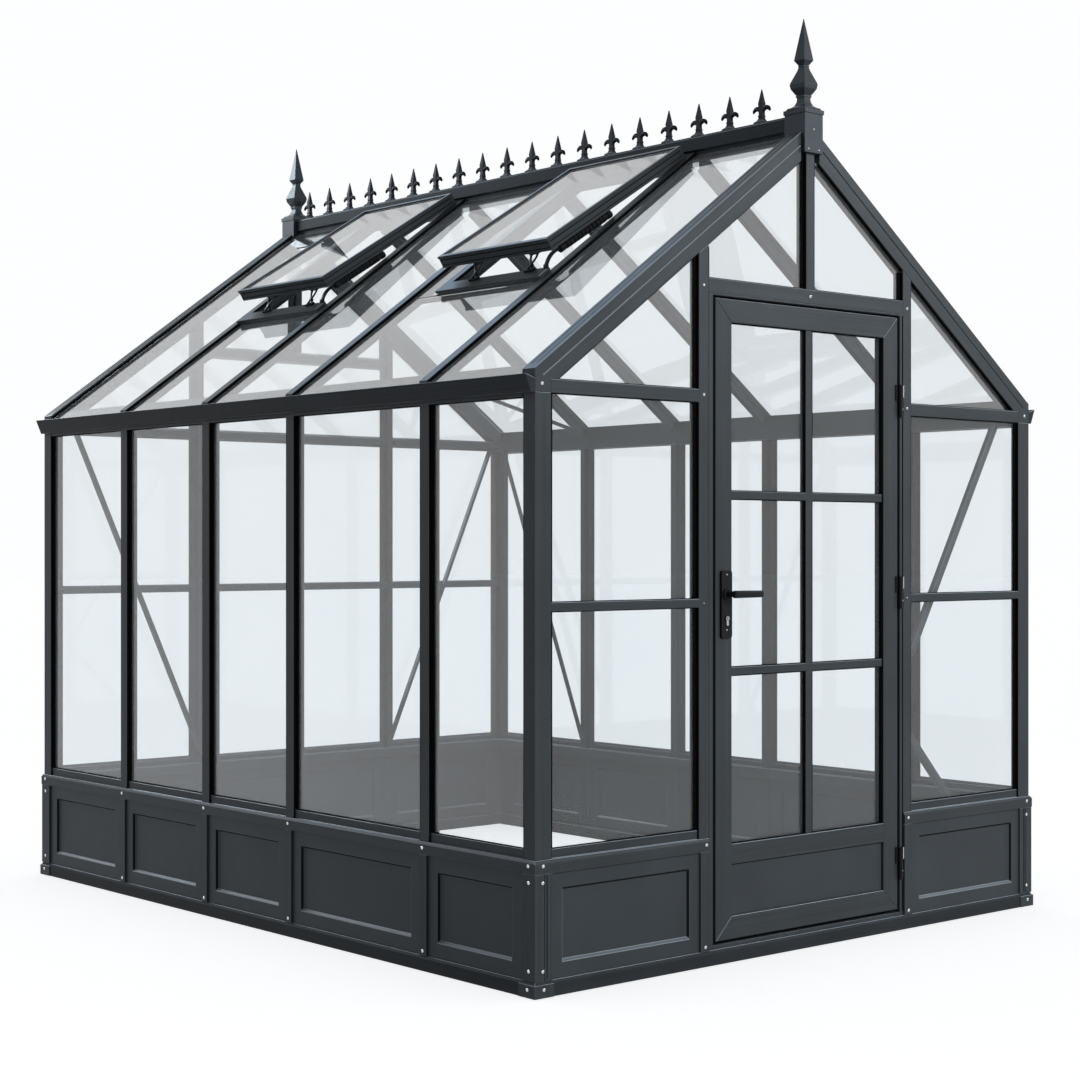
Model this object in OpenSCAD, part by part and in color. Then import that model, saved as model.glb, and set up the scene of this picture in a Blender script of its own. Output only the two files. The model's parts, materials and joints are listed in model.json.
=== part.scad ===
// Garden greenhouse on a panelled dwarf wall, with a hinged door in the front
// gable, two roof vents propped open and a cresting along the ridge.
// Origin: on the ground, in the middle of the footprint. The door gable faces -Y,
// +X is to the right of someone who faces the door, +Z is up. Millimetres.

/* [Footprint] */
// Width across the outer faces of the corner posts
width = 2240; // [2100:10:2600]
// Bay next to the door gable
front_bay = 495; // [420:5:620]
// Bay that a roof vent fills
vent_bay = 545; // [480:5:640]
// Narrow fixed light beside the front roof vent
side_light = 150; // [110:5:260]
// Bay in the middle of each long wall
mid_bay = 500; // [420:5:620]
// Bay next to the rear gable
rear_bay = 595; // [450:5:700]

/* [Heights] */
// Height of the base rail
base_h = 45; // [35:1:60]
// Height of the dwarf wall panels
panel_h = 293; // [240:1:400]
// Height of the sill rail
sill_h = 38; // [28:1:50]
// How far the foot of the eave beams lies below the top of the door leaf
eave_drop = 322; // [240:2:340]
// Height of the eave beam
eave_h = 50; // [40:1:70]
// Roof pitch in degrees
pitch = 36; // [33:1:39]

/* [Frame bars] */
// Width of the face of a side post
post_face = 42; // [34:1:54]
// Width of the face of a door post
door_post_face = 40; // [34:1:50]
// Thickness of the outer cap of every bar
cap_t = 14; // [9:1:16]
// Thickness of the web between the panes
web_w = 12; // [8:1:16]
// Depth of a bar, from its face to its inner flange
bar_d = 50; // [40:1:60]
// Width of the inner flange
flange_w = 26; // [20:1:32]
// Thickness of the inner flange
flange_t = 6; // [4:1:8]
// Face of a corner post on the gable
corner_face_x = 58; // [52:1:70]
// Face of a corner post on the long wall
corner_face_y = 50; // [46:1:64]
// Height of the face of the middle rails of the gables
mid_rail_face = 25; // [20:1:34]
// Height of the face of the tie rails at the eaves
tie_face = 38; // [30:1:48]
// Height of the face of the header over the door
header_face = 43; // [34:1:52]
// Width of the face of the king posts
king_face = 36; // [28:1:46]
// Height of the centre of the middle rails
mid_rail_z = 1067; // [900:1:1200]

/* [Glass] */
// Thickness of the wall and roof glass
glass_t = 4; // [3:1:5]
// Play between a pane and the bar beside it
glass_play = 1; // [0.5:0.1:2]

/* [Dwarf wall] */
// Thickness of a dwarf wall panel
panel_t = 20; // [16:1:30]
// Margin below and above the sunk field of a panel
panel_margin = 44; // [34:1:60]
// Margin beside the sunk field at a seam between two panels
seam_margin = 62; // [40:1:80]
// Margin beside the sunk field at a corner of the greenhouse
corner_margin = 98; // [80:1:120]
// Margin beside the sunk field at a door post
post_margin = 40; // [30:1:60]
// Depth of the sunk field
field_depth = 8; // [4:1:12]
// Width of the bevel around the sunk field
field_bevel = 7; // [3:1:12]
// Depth of the sunk field on the inside of a panel
inner_depth = 5; // [2:0.5:6]
// How far the base and sill rails stand proud of the posts
rail_proud = 8; // [4:1:14]
// Depth of the base and sill rails
rail_d = 60; // [54:1:80]
// Width of the strips that cover the seams between panels
panel_strip = 36; // [30:1:44]
// Thickness of those strips and of the corner strips
strip_t = 6; // [4:0.5:7]
// Distance from the corner to the groove of a corner strip, on the gable
strip_groove = 27; // [20:1:34]
// Length of each side of the covers on the corners of the base rail
corner_cover = 60; // [36:1:80]
// Thickness of those covers
cover_t = 3; // [2:0.5:4]

/* [Roof] */
// Depth of the gable rafters, square to the slope
rafter_d = 72; // [60:1:90]
// Thickness of the gable rafters
rafter_t = 55; // [46:1:70]
// Width of the cap of a roof bar
roof_cap_w = 36; // [28:1:44]
// How far the top of a roof bar stands above the underside of the glass
roof_cap_n = 14; // [11:1:20]
// How far a roof bar reaches below the glass
roof_bar_n = 34; // [26:1:44]
// Width of the head of the ridge beam
ridge_head_w = 60; // [50:1:76]
// Height of the head of the ridge beam
ridge_head_h = 47; // [36:1:60]
// Width of the neck of the ridge beam
ridge_neck_w = 40; // [30:1:46]
// Height of the neck below the head
ridge_neck_h = 31; // [24:1:60]
// Width of a gutter at its top
gutter_w = 35; // [30:1:50]
// Width of a gutter at its foot
gutter_foot = 14; // [12:1:20]
// Height of a gutter
gutter_h = 50; // [40:1:60]
// Wall of a gutter
gutter_wall = 3; // [2:0.5:4]

/* [Ridge ornaments] */
// Width of the blocks at the ends of the ridge
block_w = 84; // [76:1:100]
// Length of those blocks along the ridge
block_l = 84; // [70:1:100]
// How far a block stands in front of its gable
block_proud = 14; // [6:1:24]
// Height of a finial above its block
finial_h = 286; // [220:1:340]
// Height of a spike of the cresting
spike_h = 110; // [90:1:130]
// Distance from one spike to the next
spike_pitch = 139; // [110:1:180]
// Distance from the front block to the first spike
spike_start = 134; // [60:1:150]

/* [Roof vents] */
// Length of a vent sash down the slope
sash_len = 676; // [600:2:740]
// Width of the rails of a vent sash
sash_rail = 26; // [22:1:34]
// Depth of the rails of a vent sash
sash_d = 42; // [36:1:46]
// Angle that the vents are propped open
vent_open = 4.2; // [4:0.1:9]
// Play between the sash and the lines of its bars
sash_play = 5; // [2:1:12]
// Depth of a vent sill, up the slope
vent_sill = 54; // [50:1:60]
// How far a vent sill reaches past the foot of a closed sash
sill_reach = 66; // [60:1:72]

/* [Door] */
// Width of the door leaf
leaf_w = 834; // [760:2:900]
// Height of the door leaf
leaf_h = 1900; // [1850:5:1910]
// Thickness of the door leaf
leaf_t = 40; // [34:1:48]
// Height of the foot of the door leaf above the base rail
leaf_clear = 22; // [16:1:28]
// Gap between the leaf and the threshold
foot_gap = 10; // [7:1:12]
// Gap between the leaf and the head of its lining
head_gap = 7; // [6:1:10]
// Thickness of the head of the lining
head_t = 7; // [5:1:12]
// Gap between the leaf and its jambs
door_gap = 12; // [8:1:16]
// Gap between the leaf and its stops
stop_gap = 5; // [5:1:8]
// Width of a jamb
jamb_w = 17; // [10:1:24]
// Width of the stiles and of the top and bottom rails of the leaf
stile_w = 68; // [60:1:84]
// Height of the kick panel
kick_h = 154; // [110:1:220]
// Height of the rail above the kick panel
lock_rail = 60; // [46:1:76]
// Width of the upright glazing bar of the door
door_bar_w = 29; // [20:1:36]
// Height of the level glazing bars of the door
door_bar_h = 24; // [18:1:32]
// Height of a hinge
hinge_h = 104; // [80:2:130]
// Height of the lowest hinge above the foot of the leaf
low_hinge = 148; // [110:1:200]
// Height of the middle hinge above the lowest one
mid_hinge = 870; // [700:5:900]
// Distance from the top of the leaf down to the highest hinge
top_hinge = 267; // [200:1:320]
// Radius of a hinge knuckle
knuckle_r = 7; // [6:0.5:8]
// Radius of a hinge pin
pin_r = 3; // [2.5:0.25:4]
// Height of the lever above the foot of the leaf
lever_z = 1025; // [950:1:1080]
// Distance from the lever down to the lock cylinder
lock_drop = 72; // [62:1:92]
// Distance from the edge of the leaf to the lever
lever_set = 39; // [36:1:42]
// Radius of the lever and its spindle
lever_r = 9; // [7:0.5:10]
// Length of the grip of the lever
grip_l = 112; // [90:1:130]
// How far the grip stands in front of the door
grip_out = 46; // [36:1:60]

/* [Hidden] */
$fn = 32;

frame_grey = [0.27, 0.285, 0.30];
dark_grey = [0.15, 0.16, 0.17];
clear_glass = [0.78, 0.88, 0.92, 0.35];
silver = [0.75, 0.76, 0.78];

// The gap left between two pieces that are screwed together without fusing
seam = 0.3;
cut = 1; // how far a cutting shape runs past what it cuts

bays = [front_bay, vent_bay + side_light, mid_bay, vent_bay, rear_bay];
vent_bays = [1, 3];
function bay_line(i) = i <= 0 ? 0 : bay_line(i - 1) + bays[i - 1];
length = bay_line(5);
half_w = width / 2;
half_l = length / 2;
function line_y(i) = bay_line(i) - half_l;

sill_z = base_h + panel_h;
sill_top = sill_z + sill_h;
leaf_z = base_h + leaf_clear;
leaf_top = leaf_z + leaf_h;
eave_z = leaf_top - eave_drop;
roof_z0 = eave_z + eave_h + 5;
tie_z = eave_z + 11 + tie_face / 2;
tie_low = tie_z - tie_face / 2;
tie_top = tie_z + tie_face / 2;

// Height of a line n above the underside of the left roof glass, at x
function roof_z(x, n) = roof_z0 + (half_w + x) * tan(pitch) + n / cos(pitch);
rafter_top_n = roof_cap_n + 4;
rafter_low_n = rafter_top_n - rafter_d;
head_z = roof_z(-ridge_neck_w / 2, roof_cap_n) + 2;
ridge_z = head_z + ridge_head_h;
glass_d = cap_t + 0.5; // depth of the outer face of the wall glass

header_z = leaf_top + head_gap + head_t + header_face / 2;
post_in = leaf_w / 2 + door_gap + jamb_w;
post_x = post_in + door_post_face / 2;
post_out = post_in + door_post_face;
pane_gap = web_w / 2 + glass_play;
bead_h = 26;
bead_t = 8;

block_z0 = ridge_z - 122;
block_z1 = ridge_z + seam;
plate_h = 13;

// ---- helpers

module both_sides() {
    children();
    mirror([1, 0, 0]) children();
}

module both_ends() {
    children();
    mirror([0, 1, 0]) children();
}

// An outline drawn in x and z, run from y0 to y1
module along_y(y0, y1) {
    translate([0, y1, 0]) rotate([90, 0, 0]) linear_extrude(y1 - y0) children();
}

// An outline drawn in y and z, run from x0 to x1
module along_x(x0, x1) {
    translate([x0, 0, 0]) rotate([90, 0, 90]) linear_extrude(x1 - x0) children();
}

module block(low, high) {
    translate(low) cube(high - low);
}

// Plan of a glazing bar: cap on the outside, web between the panes, flange inside
module tee(face) {
    translate([-face / 2, 0]) square([face, cap_t]);
    translate([-web_w / 2, 0]) square([web_w, bar_d]);
    translate([-flange_w / 2, bar_d - flange_t]) square([flange_w, flange_t]);
}

// An upright bar of the front gable
module gable_post(x, face, z0, z1) {
    translate([x, -half_l, z0]) linear_extrude(z1 - z0) tee(face);
}

// A level bar of the front gable
module gable_rail(x0, x1, z, face) {
    translate([x0, -half_l, z]) rotate([0, 90, 0]) linear_extrude(x1 - x0) tee(face);
}

// A slab that lies along the left slope, with plumb ends
module slope_slab(x0, x1, n0, n1, y0, y1) {
    along_y(y0, y1) polygon([
        [x0, roof_z(x0, n0)], [x1, roof_z(x1, n0)], [x1, roof_z(x1, n1)], [x0, roof_z(x0, n1)]]);
}

// The x and z of a point s up the slope from the lower edge of the vent sills, n above the glass
function on_slope(s, n) = [
    sill_x + s * cos(pitch) - n * sin(pitch), roof_z(sill_x, 0) + s * sin(pitch) + n * cos(pitch)];

// All that lies under the rafters of a gable, less a seam
module under_rafters() {
    n = rafter_low_n - seam;
    along_y(-half_l - 100, -half_l + 100) polygon([
        [-half_w, 0], [half_w, 0], [half_w, roof_z(-half_w, n)],
        [0, roof_z(0, n)], [-half_w, roof_z(-half_w, n)]]);
}

// ---- base, panels and sill

// A rail along the foot of a wall: depth 0 is the face of the posts
module rail_section(z0, z1) {
    polygon([[-rail_proud, z0], [-rail_proud, z1 - 8], [-rail_proud + 5, z1],
             [rail_d - rail_proud, z1], [rail_d - rail_proud, z0]]);
}

// Cuts the ends of a rail of the left wall to a mitre
module mitre_y() {
    far = 3 * length;
    intersection() {
        children();
        linear_extrude(far) polygon([
            [-half_w - 50, -half_l - 50 + seam], [-half_w + 100, -half_l + 100 + seam],
            [-half_w + 100, half_l - 100 - seam], [-half_w - 50, half_l + 50 - seam]]);
    }
}

// Cuts the ends of a rail of the front wall to a mitre
module mitre_x() {
    far = 3 * length;
    intersection() {
        children();
        linear_extrude(far) polygon([
            [-half_w - 50 + seam, -half_l - 50], [half_w + 50 - seam, -half_l - 50],
            [half_w - 100 - seam, -half_l + 100], [-half_w + 100 + seam, -half_l + 100]]);
    }
}

module side_rail(z0, z1) {
    mitre_y() along_y(-half_l - rail_proud, half_l + rail_proud)
        translate([-half_w, 0]) rail_section(z0, z1);
}

module gable_base_rail(x0, x1, z0, z1) {
    mitre_x() along_x(x0, x1) translate([-half_l, 0]) rail_section(z0, z1);
}

module base_rails() {
    color(frame_grey) {
        both_sides() side_rail(0, base_h);
        both_ends() gable_base_rail(-half_w - rail_proud, half_w + rail_proud, 0, base_h);
    }
}

// Angle that wraps the front left corner, proud of a face that lies out from the posts
module corner_angle(out, thick, leg_x, leg_y, z0, z1) {
    o = out + thick + seam;
    translate([-half_w, -half_l, z0]) linear_extrude(z1 - z0) difference() {
        translate([-o, -o]) square([leg_x + o, leg_y + o]);
        translate([-out - seam, -out - seam]) square([leg_x + o + cut, leg_y + o + cut]);
        if (out == 0) translate([strip_groove, -o - cut]) square([3, thick - 2 + cut]);
    }
}

module corner_covers() {
    color(frame_grey) both_sides() both_ends()
        corner_angle(rail_proud, cover_t, corner_cover, corner_cover, 0, base_h - 8);
}

// A strip of the front wall, from x0 to x1
module gable_strip(x0, x1) {
    block([x0, -half_l - seam - strip_t, base_h + seam], [x1, -half_l - seam, sill_z - seam]);
}

module panel_strips() {
    w = panel_strip / 2;
    color(frame_grey) both_sides() {
        both_ends() corner_angle(0, strip_t, corner_face_x, corner_face_y, base_h + seam, sill_z - seam);
        gable_strip(-post_out, -post_in);
        mirror([0, 1, 0]) gable_strip(-post_x - w, -post_x + w);
        for (i = [1:4]) block([-half_w - seam - strip_t, line_y(i) - w, base_h + seam],
                              [-half_w - seam, line_y(i) + w, sill_z - seam]);
    }
}

// The sunk field of a panel: a shallow basin with bevelled sides
module field(len, high, deep, b) {
    intersection() {
        along_x(0, len) polygon([
            [-cut, 0], [0, 0], [deep, b], [deep, high - b], [0, high], [-cut, high]]);
        linear_extrude(high) polygon([
            [0, -cut], [0, 0], [b, deep], [len - b, deep], [len, 0], [len, -cut]]);
    }
}

// A dwarf wall panel of a length, with fields that keep margins m0 and m1 at its ends
module panel(len, m0, m1) {
    field_l = len - m0 - m1;
    field_h = panel_h - 2 * panel_margin;
    difference() {
        cube([len, panel_t, panel_h]);
        translate([m0, 0, panel_margin]) field(field_l, field_h, field_depth, field_bevel);
        translate([m0, panel_t, panel_margin]) mirror([0, 1, 0])
            field(field_l, field_h, inner_depth, inner_depth);
    }
}

// A panel of the front wall, from x0 to x1
module gable_panel(x0, x1, m0, m1) {
    translate([x0, -half_l, base_h]) panel(x1 - x0, m0, m1);
}

module side_base_panels() {
    color(frame_grey) both_sides() for (i = [0:4]) {
        y0 = i == 0 ? line_y(0) + panel_t + seam : line_y(i) + seam;
        y1 = i == 4 ? line_y(5) - panel_t - seam : line_y(i + 1) - seam;
        m0 = i == 4 ? corner_margin - panel_t : seam_margin;
        m1 = i == 0 ? corner_margin - panel_t : seam_margin;
        translate([-half_w, y1, base_h]) rotate([0, 0, -90]) panel(y1 - y0, m0, m1);
    }
}

module gable_base_panels() {
    color(frame_grey) {
        both_sides() gable_panel(-half_w, -post_out - seam, corner_margin, post_margin);
        mirror([0, 1, 0]) {
            both_sides() gable_panel(-half_w, -post_x - seam, corner_margin, seam_margin);
            gable_panel(-post_x + seam, post_x - seam, seam_margin, seam_margin);
        }
    }
}

// The two beads that hold the foot of a pane, as an outline over depth and height
module bead_section() {
    translate([glass_d - 0.3 - bead_t, sill_top - cut]) square([bead_t, bead_h + cut]);
    translate([glass_d + glass_t + 0.3, sill_top - cut]) square([bead_t, bead_h - 6 + cut]);
}

module side_sill() {
    mitre_y() {
        along_y(-half_l - rail_proud, half_l + rail_proud)
            translate([-half_w, 0]) rail_section(sill_z, sill_top);
        for (i = [0:4]) {
            y0 = line_y(i) + (i == 0 ? corner_face_y : post_face / 2) + seam;
            y1 = line_y(i + 1) - (i == 4 ? corner_face_y : post_face / 2) - seam;
            along_y(y0, y1) translate([-half_w, 0]) bead_section();
        }
    }
}

// A sill of the front gable from x0 to x1, with beads between the pairs of x in spans
module gable_sill(x0, x1, spans) {
    mitre_x() {
        along_x(x0, x1) translate([-half_l, 0]) rail_section(sill_z, sill_top);
        for (s = spans) along_x(s[0] + seam, s[1] - seam) translate([-half_l, 0]) bead_section();
    }
}

// The nosing of the front sill, which runs on over the face of the door post
module sill_nosing() {
    along_x(-post_out - 2 * cut, -post_in) translate([-half_l, 0]) intersection() {
        rail_section(sill_z, sill_top);
        translate([-rail_proud - cut, 0]) square([rail_proud + cut - seam, sill_top + cut]);
    }
}

module sill_rails() {
    corner = half_w - corner_face_x;
    color(frame_grey) {
        both_sides() side_sill();
        both_sides() gable_sill(-half_w - rail_proud, -post_out - seam, [[-corner, -post_out]]);
        both_sides() sill_nosing();
        mirror([0, 1, 0]) gable_sill(-half_w - rail_proud, half_w + rail_proud, [
            [-corner, -post_out], [-post_in, post_in], [post_out, corner]]);
    }
}

// ---- posts and rails

module corner_posts() {
    core = bar_d - 8;
    color(frame_grey) both_sides() both_ends()
        translate([-half_w, -half_l, sill_top]) linear_extrude(tie_low - sill_top) polygon([
            [0, 0], [corner_face_x, 0], [corner_face_x, cap_t], [core, cap_t],
            [core, core], [cap_t, core], [cap_t, corner_face_y], [0, corner_face_y]]);
}

module side_posts() {
    color(frame_grey) both_sides() for (i = [1:4])
        translate([-half_w, line_y(i), sill_top]) rotate([0, 0, -90])
            linear_extrude(eave_z - sill_top) tee(post_face);
}

module door_posts() {
    color(frame_grey) both_sides() intersection() {
        gable_post(-post_x, door_post_face, base_h, ridge_z);
        under_rafters();
    }
}

module rear_posts() {
    color(frame_grey) mirror([0, 1, 0]) both_sides() intersection() {
        gable_post(-post_x, door_post_face, sill_top, ridge_z);
        under_rafters();
    }
}

module king_posts() {
    color(frame_grey) both_ends()
        gable_post(0, king_face, header_z + header_face / 2, block_z0);
}

// Rails between the corner post and the door post, on the left of the gable
module gable_side_rails() {
    x0 = -half_w + corner_face_x + seam;
    gable_rail(x0, -post_out - seam, mid_rail_z, mid_rail_face);
    gable_rail(x0, -post_out - seam, tie_z, tie_face);
}

module front_rails() {
    color(frame_grey) both_sides() gable_side_rails();
}

module rear_rails() {
    color(frame_grey) mirror([0, 1, 0]) {
        both_sides() gable_side_rails();
        gable_rail(-post_in + seam, post_in - seam, mid_rail_z, mid_rail_face);
        gable_rail(-post_in + seam, post_in - seam, tie_z, tie_face);
        gable_rail(-post_in + seam, post_in - seam, header_z, header_face);
    }
}

module door_header() {
    color(frame_grey) gable_rail(-post_in + seam, post_in - seam, header_z, header_face);
}

// ---- eaves and roof

module eave_beams() {
    x0 = -half_w;
    x1 = -half_w + bar_d;
    g = 10;
    color(frame_grey) both_sides() along_y(-half_l + rafter_t + seam, half_l - rafter_t - seam)
        difference() {
            polygon([[x0, eave_z], [x1, eave_z], [x1, roof_z(x1, -0.4)], [x0, roof_z(x0, -0.4)]]);
            translate([x0 + glass_d - 0.5, eave_z - cut]) square([glass_t + 1, g + cut]);
        }
}

module gutters() {
    z1 = roof_z0 + 5;
    z0 = z1 - gutter_h;
    w = gutter_wall;
    slant = (gutter_w - gutter_foot) / gutter_h;
    x_foot = -half_w - gutter_foot;
    color(frame_grey) both_sides() difference() {
        along_y(-half_l, half_l) polygon([
            [-half_w - seam, z0], [x_foot, z0], [-half_w - gutter_w, z1], [-half_w - seam, z1 - 11]]);
        along_y(-half_l + w, half_l - w) polygon([
            [-half_w - seam - w, z0 + w], [x_foot + w - slant * w, z0 + w],
            [-half_w - gutter_w + w - slant * cut, z1 + cut], [-half_w - seam - w, z1 + cut]]);
    }
}

// The left rafter of the front gable, with its foot over the corner post
module rafter() {
    x1 = -block_w / 2 - seam;
    foot = corner_face_x;
    x_tie = -half_w + (tie_top - roof_z(-half_w, rafter_low_n)) / tan(pitch);
    groove_n = rafter_top_n - 30;
    difference() {
        along_y(-half_l, -half_l + rafter_t) polygon([
            [-half_w, tie_low + seam], [-half_w, roof_z(-half_w, rafter_top_n)],
            [x1, roof_z(x1, rafter_top_n)], [x1, roof_z(x1, rafter_low_n)],
            [x_tie, tie_top + seam], [-half_w + foot, tie_top + seam], [-half_w + foot, tie_low + seam]]);
        slope_slab(-half_w + 30, x1 + cut, groove_n - 3, groove_n, -half_l - cut, -half_l + 3);
    }
}

module front_rafters() {
    color(frame_grey) both_sides() rafter();
}

module rear_rafters() {
    color(frame_grey) mirror([0, 1, 0]) both_sides() rafter();
}

// A bar of the left slope: its cap runs from x_cap, its web and flange from x_web
module roof_bar(y, x_cap, x_web) {
    x1 = -ridge_neck_w / 2 - seam;
    cap_n = glass_t + 0.5;
    slope_slab(x_cap, x1, cap_n, roof_cap_n, y - roof_cap_w / 2, y + roof_cap_w / 2);
    slope_slab(x_web, x1, -roof_bar_n, cap_n + cut, y - web_w / 2, y + web_w / 2);
    slope_slab(x_web, x1, -roof_bar_n, -roof_bar_n + flange_t, y - flange_w / 2, y + flange_w / 2);
}

// A shorter bar, from the skirt of a vent sill to the ridge, with a foot square to the slope
module trimmer(y) {
    foot = lip_s + skirt_t + seam;
    x1 = -ridge_neck_w / 2 - seam;
    cap_n = glass_t + 0.5;
    for (p = [[roof_cap_w, cap_n, roof_cap_n], [web_w, -roof_bar_n, cap_n + cut],
              [flange_w, -roof_bar_n, -roof_bar_n + flange_t]])
        along_y(y - p[0] / 2, y + p[0] / 2) polygon([
            on_slope(foot, p[1]), [x1, roof_z(x1, p[1])], [x1, roof_z(x1, p[2])], on_slope(foot, p[2])]);
}

module roof_bars() {
    for (i = [1:4]) roof_bar(line_y(i), -half_w - 3, -half_w + bar_d + 2);
}

// The hinge line of a vent, and the lower edge of its sill
hinge_x = -ridge_head_w / 2 - 20;
sill_x = hinge_x - (sash_len + sill_reach) * cos(pitch);
lip_s = 6; // how far the front skirt of a vent sill stands back
skirt_t = 16;

module left_roof_bars() {
    color(frame_grey) {
        roof_bars();
        trimmer(line_y(1) + vent_bay);
    }
}

module right_roof_bars() {
    color(frame_grey) mirror([1, 0, 0]) roof_bars();
}

module ridge_beam() {
    n = ridge_neck_w / 2;
    h = ridge_head_w / 2;
    z0 = head_z - ridge_neck_h;
    color(frame_grey) along_y(-half_l + block_l - block_proud + seam, half_l - block_l + block_proud - seam)
        polygon([
            [-n, z0], [n, z0], [n, head_z], [h, head_z], [h, ridge_z - 6], [h - 6, ridge_z],
            [6 - h, ridge_z], [-h, ridge_z - 6], [-h, head_z], [-n, head_z]]);
}

// ---- ridge ornaments

module ridge_block() {
    b = block_w / 2;
    lip = 3;
    y0 = -half_l - block_proud;
    block([-b, y0, block_z0 + seam], [b, y0 + block_l, block_z1]);
    translate([0, y0 + block_l / 2, block_z1]) {
        block([-b - lip, -block_l / 2 - lip, 0], [b + lip, block_l / 2 + lip, plate_h]);
    }
}

module ridge_blocks() {
    color(frame_grey) both_ends() ridge_block();
}

// Half the width of a square finial at shares of its height
finial_profile = [
    [0, 40], [0.025, 36], [0.035, 29], [0.055, 21], [0.09, 16.5], [0.12, 15], [0.145, 15.5],
    [0.145, 17.5], [0.165, 17.5], [0.165, 16], [0.19, 21], [0.235, 28.5], [0.28, 31], [0.3, 30],
    [0.37, 22], [0.44, 14], [0.475, 11.5], [0.475, 12.5], [0.49, 12.5], [0.49, 11], [0.5, 13],
    [0.545, 21.5], [1, 0.8]];

module finial() {
    rotate([0, 0, 45]) rotate_extrude($fn = 4) polygon(concat(
        [[0, 0]], [for (p = finial_profile) [p[1] * sqrt(2), p[0] * finial_h]], [[0, finial_h]]));
}

module finials() {
    color(frame_grey) both_ends()
        translate([0, -half_l - block_proud + block_l / 2, block_z1 + plate_h]) finial();
}

// One spike of the cresting: foot, waisted stem, two curled arms and a square spear
module spike() {
    stem = [[0, 0], [28, 0], [28, 3], [16, 8], [12, 15], [11, 22], [13, 26], [13, 29], [9.5, 33], [9.5, 52], [0, 52]];
    spear = [[0, 0], [9, 0], [15, 10], [1, 55], [0, 55]];
    arm_r = 14;
    arm_y = 15;
    arm_z = 0.4 * spike_h;
    spear_z = 0.45 * spike_h;
    rotate_extrude($fn = 8) polygon(stem);
    translate([0, 0, spear_z]) scale([1, 1, (spike_h - spear_z) / 55]) rotate([0, 0, 45])
        rotate_extrude($fn = 4) polygon(spear);
    for (side = [0, 1]) mirror([0, side, 0]) translate([-5, arm_y, arm_z]) rotate([90, 0, 90])
        linear_extrude(10) {
            difference() {
                circle(arm_r, $fn = 12);
                circle(arm_r - 9, $fn = 12);
                translate([-arm_r - cut, -arm_r - cut]) square([2 * arm_r + 2 * cut, arm_r + cut]);
            }
            translate([arm_r - 4.5, -3]) circle(5.5, $fn = 8);
        }
}

module ridge_cresting() {
    first = -half_l + block_l - block_proud + spike_start;
    last = half_l - block_l + block_proud - 24;
    color(frame_grey) for (y = [first:spike_pitch:last]) translate([0, y, ridge_z]) spike();
}

// ---- glass

module side_wall_glass() {
    for (i = [0:4]) {
        y0 = line_y(i) + (i == 0 ? bar_d - 8 + glass_play : pane_gap);
        y1 = line_y(i + 1) - (i == 4 ? bar_d - 8 + glass_play : pane_gap);
        block([-half_w + glass_d, y0, sill_top + seam], [-half_w + glass_d + glass_t, y1, eave_z + 9]);
    }
}

module left_wall_glass() {
    color(clear_glass) side_wall_glass();
}

module right_wall_glass() {
    color(clear_glass) mirror([1, 0, 0]) side_wall_glass();
}

module gable_pane(x0, x1, z0, z1) {
    block([x0, -half_l + glass_d, z0], [x1, -half_l + glass_d + glass_t, z1]);
}

// Panes on the left of the gable: below and above the middle rail, and over the tie
module gable_side_glass() {
    x0 = -half_w + bar_d - 8 + glass_play;
    x1 = -post_x - pane_gap;
    gable_pane(x0, x1, sill_top + seam, mid_rail_z - pane_gap);
    foot = -half_w + corner_face_x + seam;
    difference() {
        gable_pane(x0, x1, mid_rail_z + pane_gap, tie_z - pane_gap);
        block([x0 - cut, -half_l, tie_low - seam], [foot, half_l, tie_z]);
    }
    intersection() {
        gable_pane(foot, x1, tie_z + pane_gap, ridge_z);
        under_rafters();
    }
}

// Panes over the header, on the left of the king post
module gable_top_glass() {
    intersection() {
        gable_pane(-post_x + pane_gap, -pane_gap, header_z + pane_gap, block_z0 - seam);
        under_rafters();
    }
}

module front_wall_glass() {
    color(clear_glass) both_sides() {
        gable_side_glass();
        gable_top_glass();
    }
}

module rear_wall_glass() {
    x = post_x - pane_gap;
    color(clear_glass) mirror([0, 1, 0]) {
        both_sides() {
            gable_side_glass();
            gable_top_glass();
        }
        gable_pane(-x, x, sill_top + seam, mid_rail_z - pane_gap);
        gable_pane(-x, x, mid_rail_z + pane_gap, tie_z - pane_gap);
        gable_pane(-x, x, tie_z + pane_gap, header_z - pane_gap);
    }
}

module roof_pane(i, x0, x1) {
    y0 = line_y(i) + (i == 0 ? rafter_t + glass_play : pane_gap);
    y1 = line_y(i + 1) - (i == 4 ? rafter_t + glass_play : pane_gap);
    difference() {
        slope_slab(x0, x1, 0, glass_t, y0, y1);
        // room for the blocks at the ends of the ridge
        if (i == 0 || i == 4) both_ends() block(
            [-block_w / 2 - glass_play, -half_l, block_z0],
            [0, -half_l - block_proud + block_l + glass_play, ridge_z]);
    }
}

glass_foot = -half_w - 6;
glass_head = -ridge_neck_w / 2 - glass_play;

module left_roof_glass() {
    vent_foot = sill_x + (lip_s - glass_play - glass_t) * cos(pitch);
    color(clear_glass) {
        for (i = [0, 2, 4]) roof_pane(i, glass_foot, glass_head);
        for (i = vent_bays) roof_pane(i, glass_foot, vent_foot);
        slope_slab(vent_foot + 6, glass_head, 0, glass_t,
            line_y(1) + vent_bay + pane_gap, line_y(2) - pane_gap);
    }
}

module right_roof_glass() {
    color(clear_glass) mirror([1, 0, 0]) for (i = [0:4]) roof_pane(i, glass_foot, glass_head);
}

// ---- roof vents

sash_w = vent_bay - sash_play;
roll_r = 5;
curb_n = roof_cap_n + seam;
deck_n = curb_n + 10; // the top of a vent sill
strip_n = curb_n; // the top of the rail that carries the hinge
hinge_n = strip_n + roll_r + seam;
hinge_z = roof_z(hinge_x, hinge_n);
sash_a = pitch - vent_open; // slope of the open sash

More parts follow.
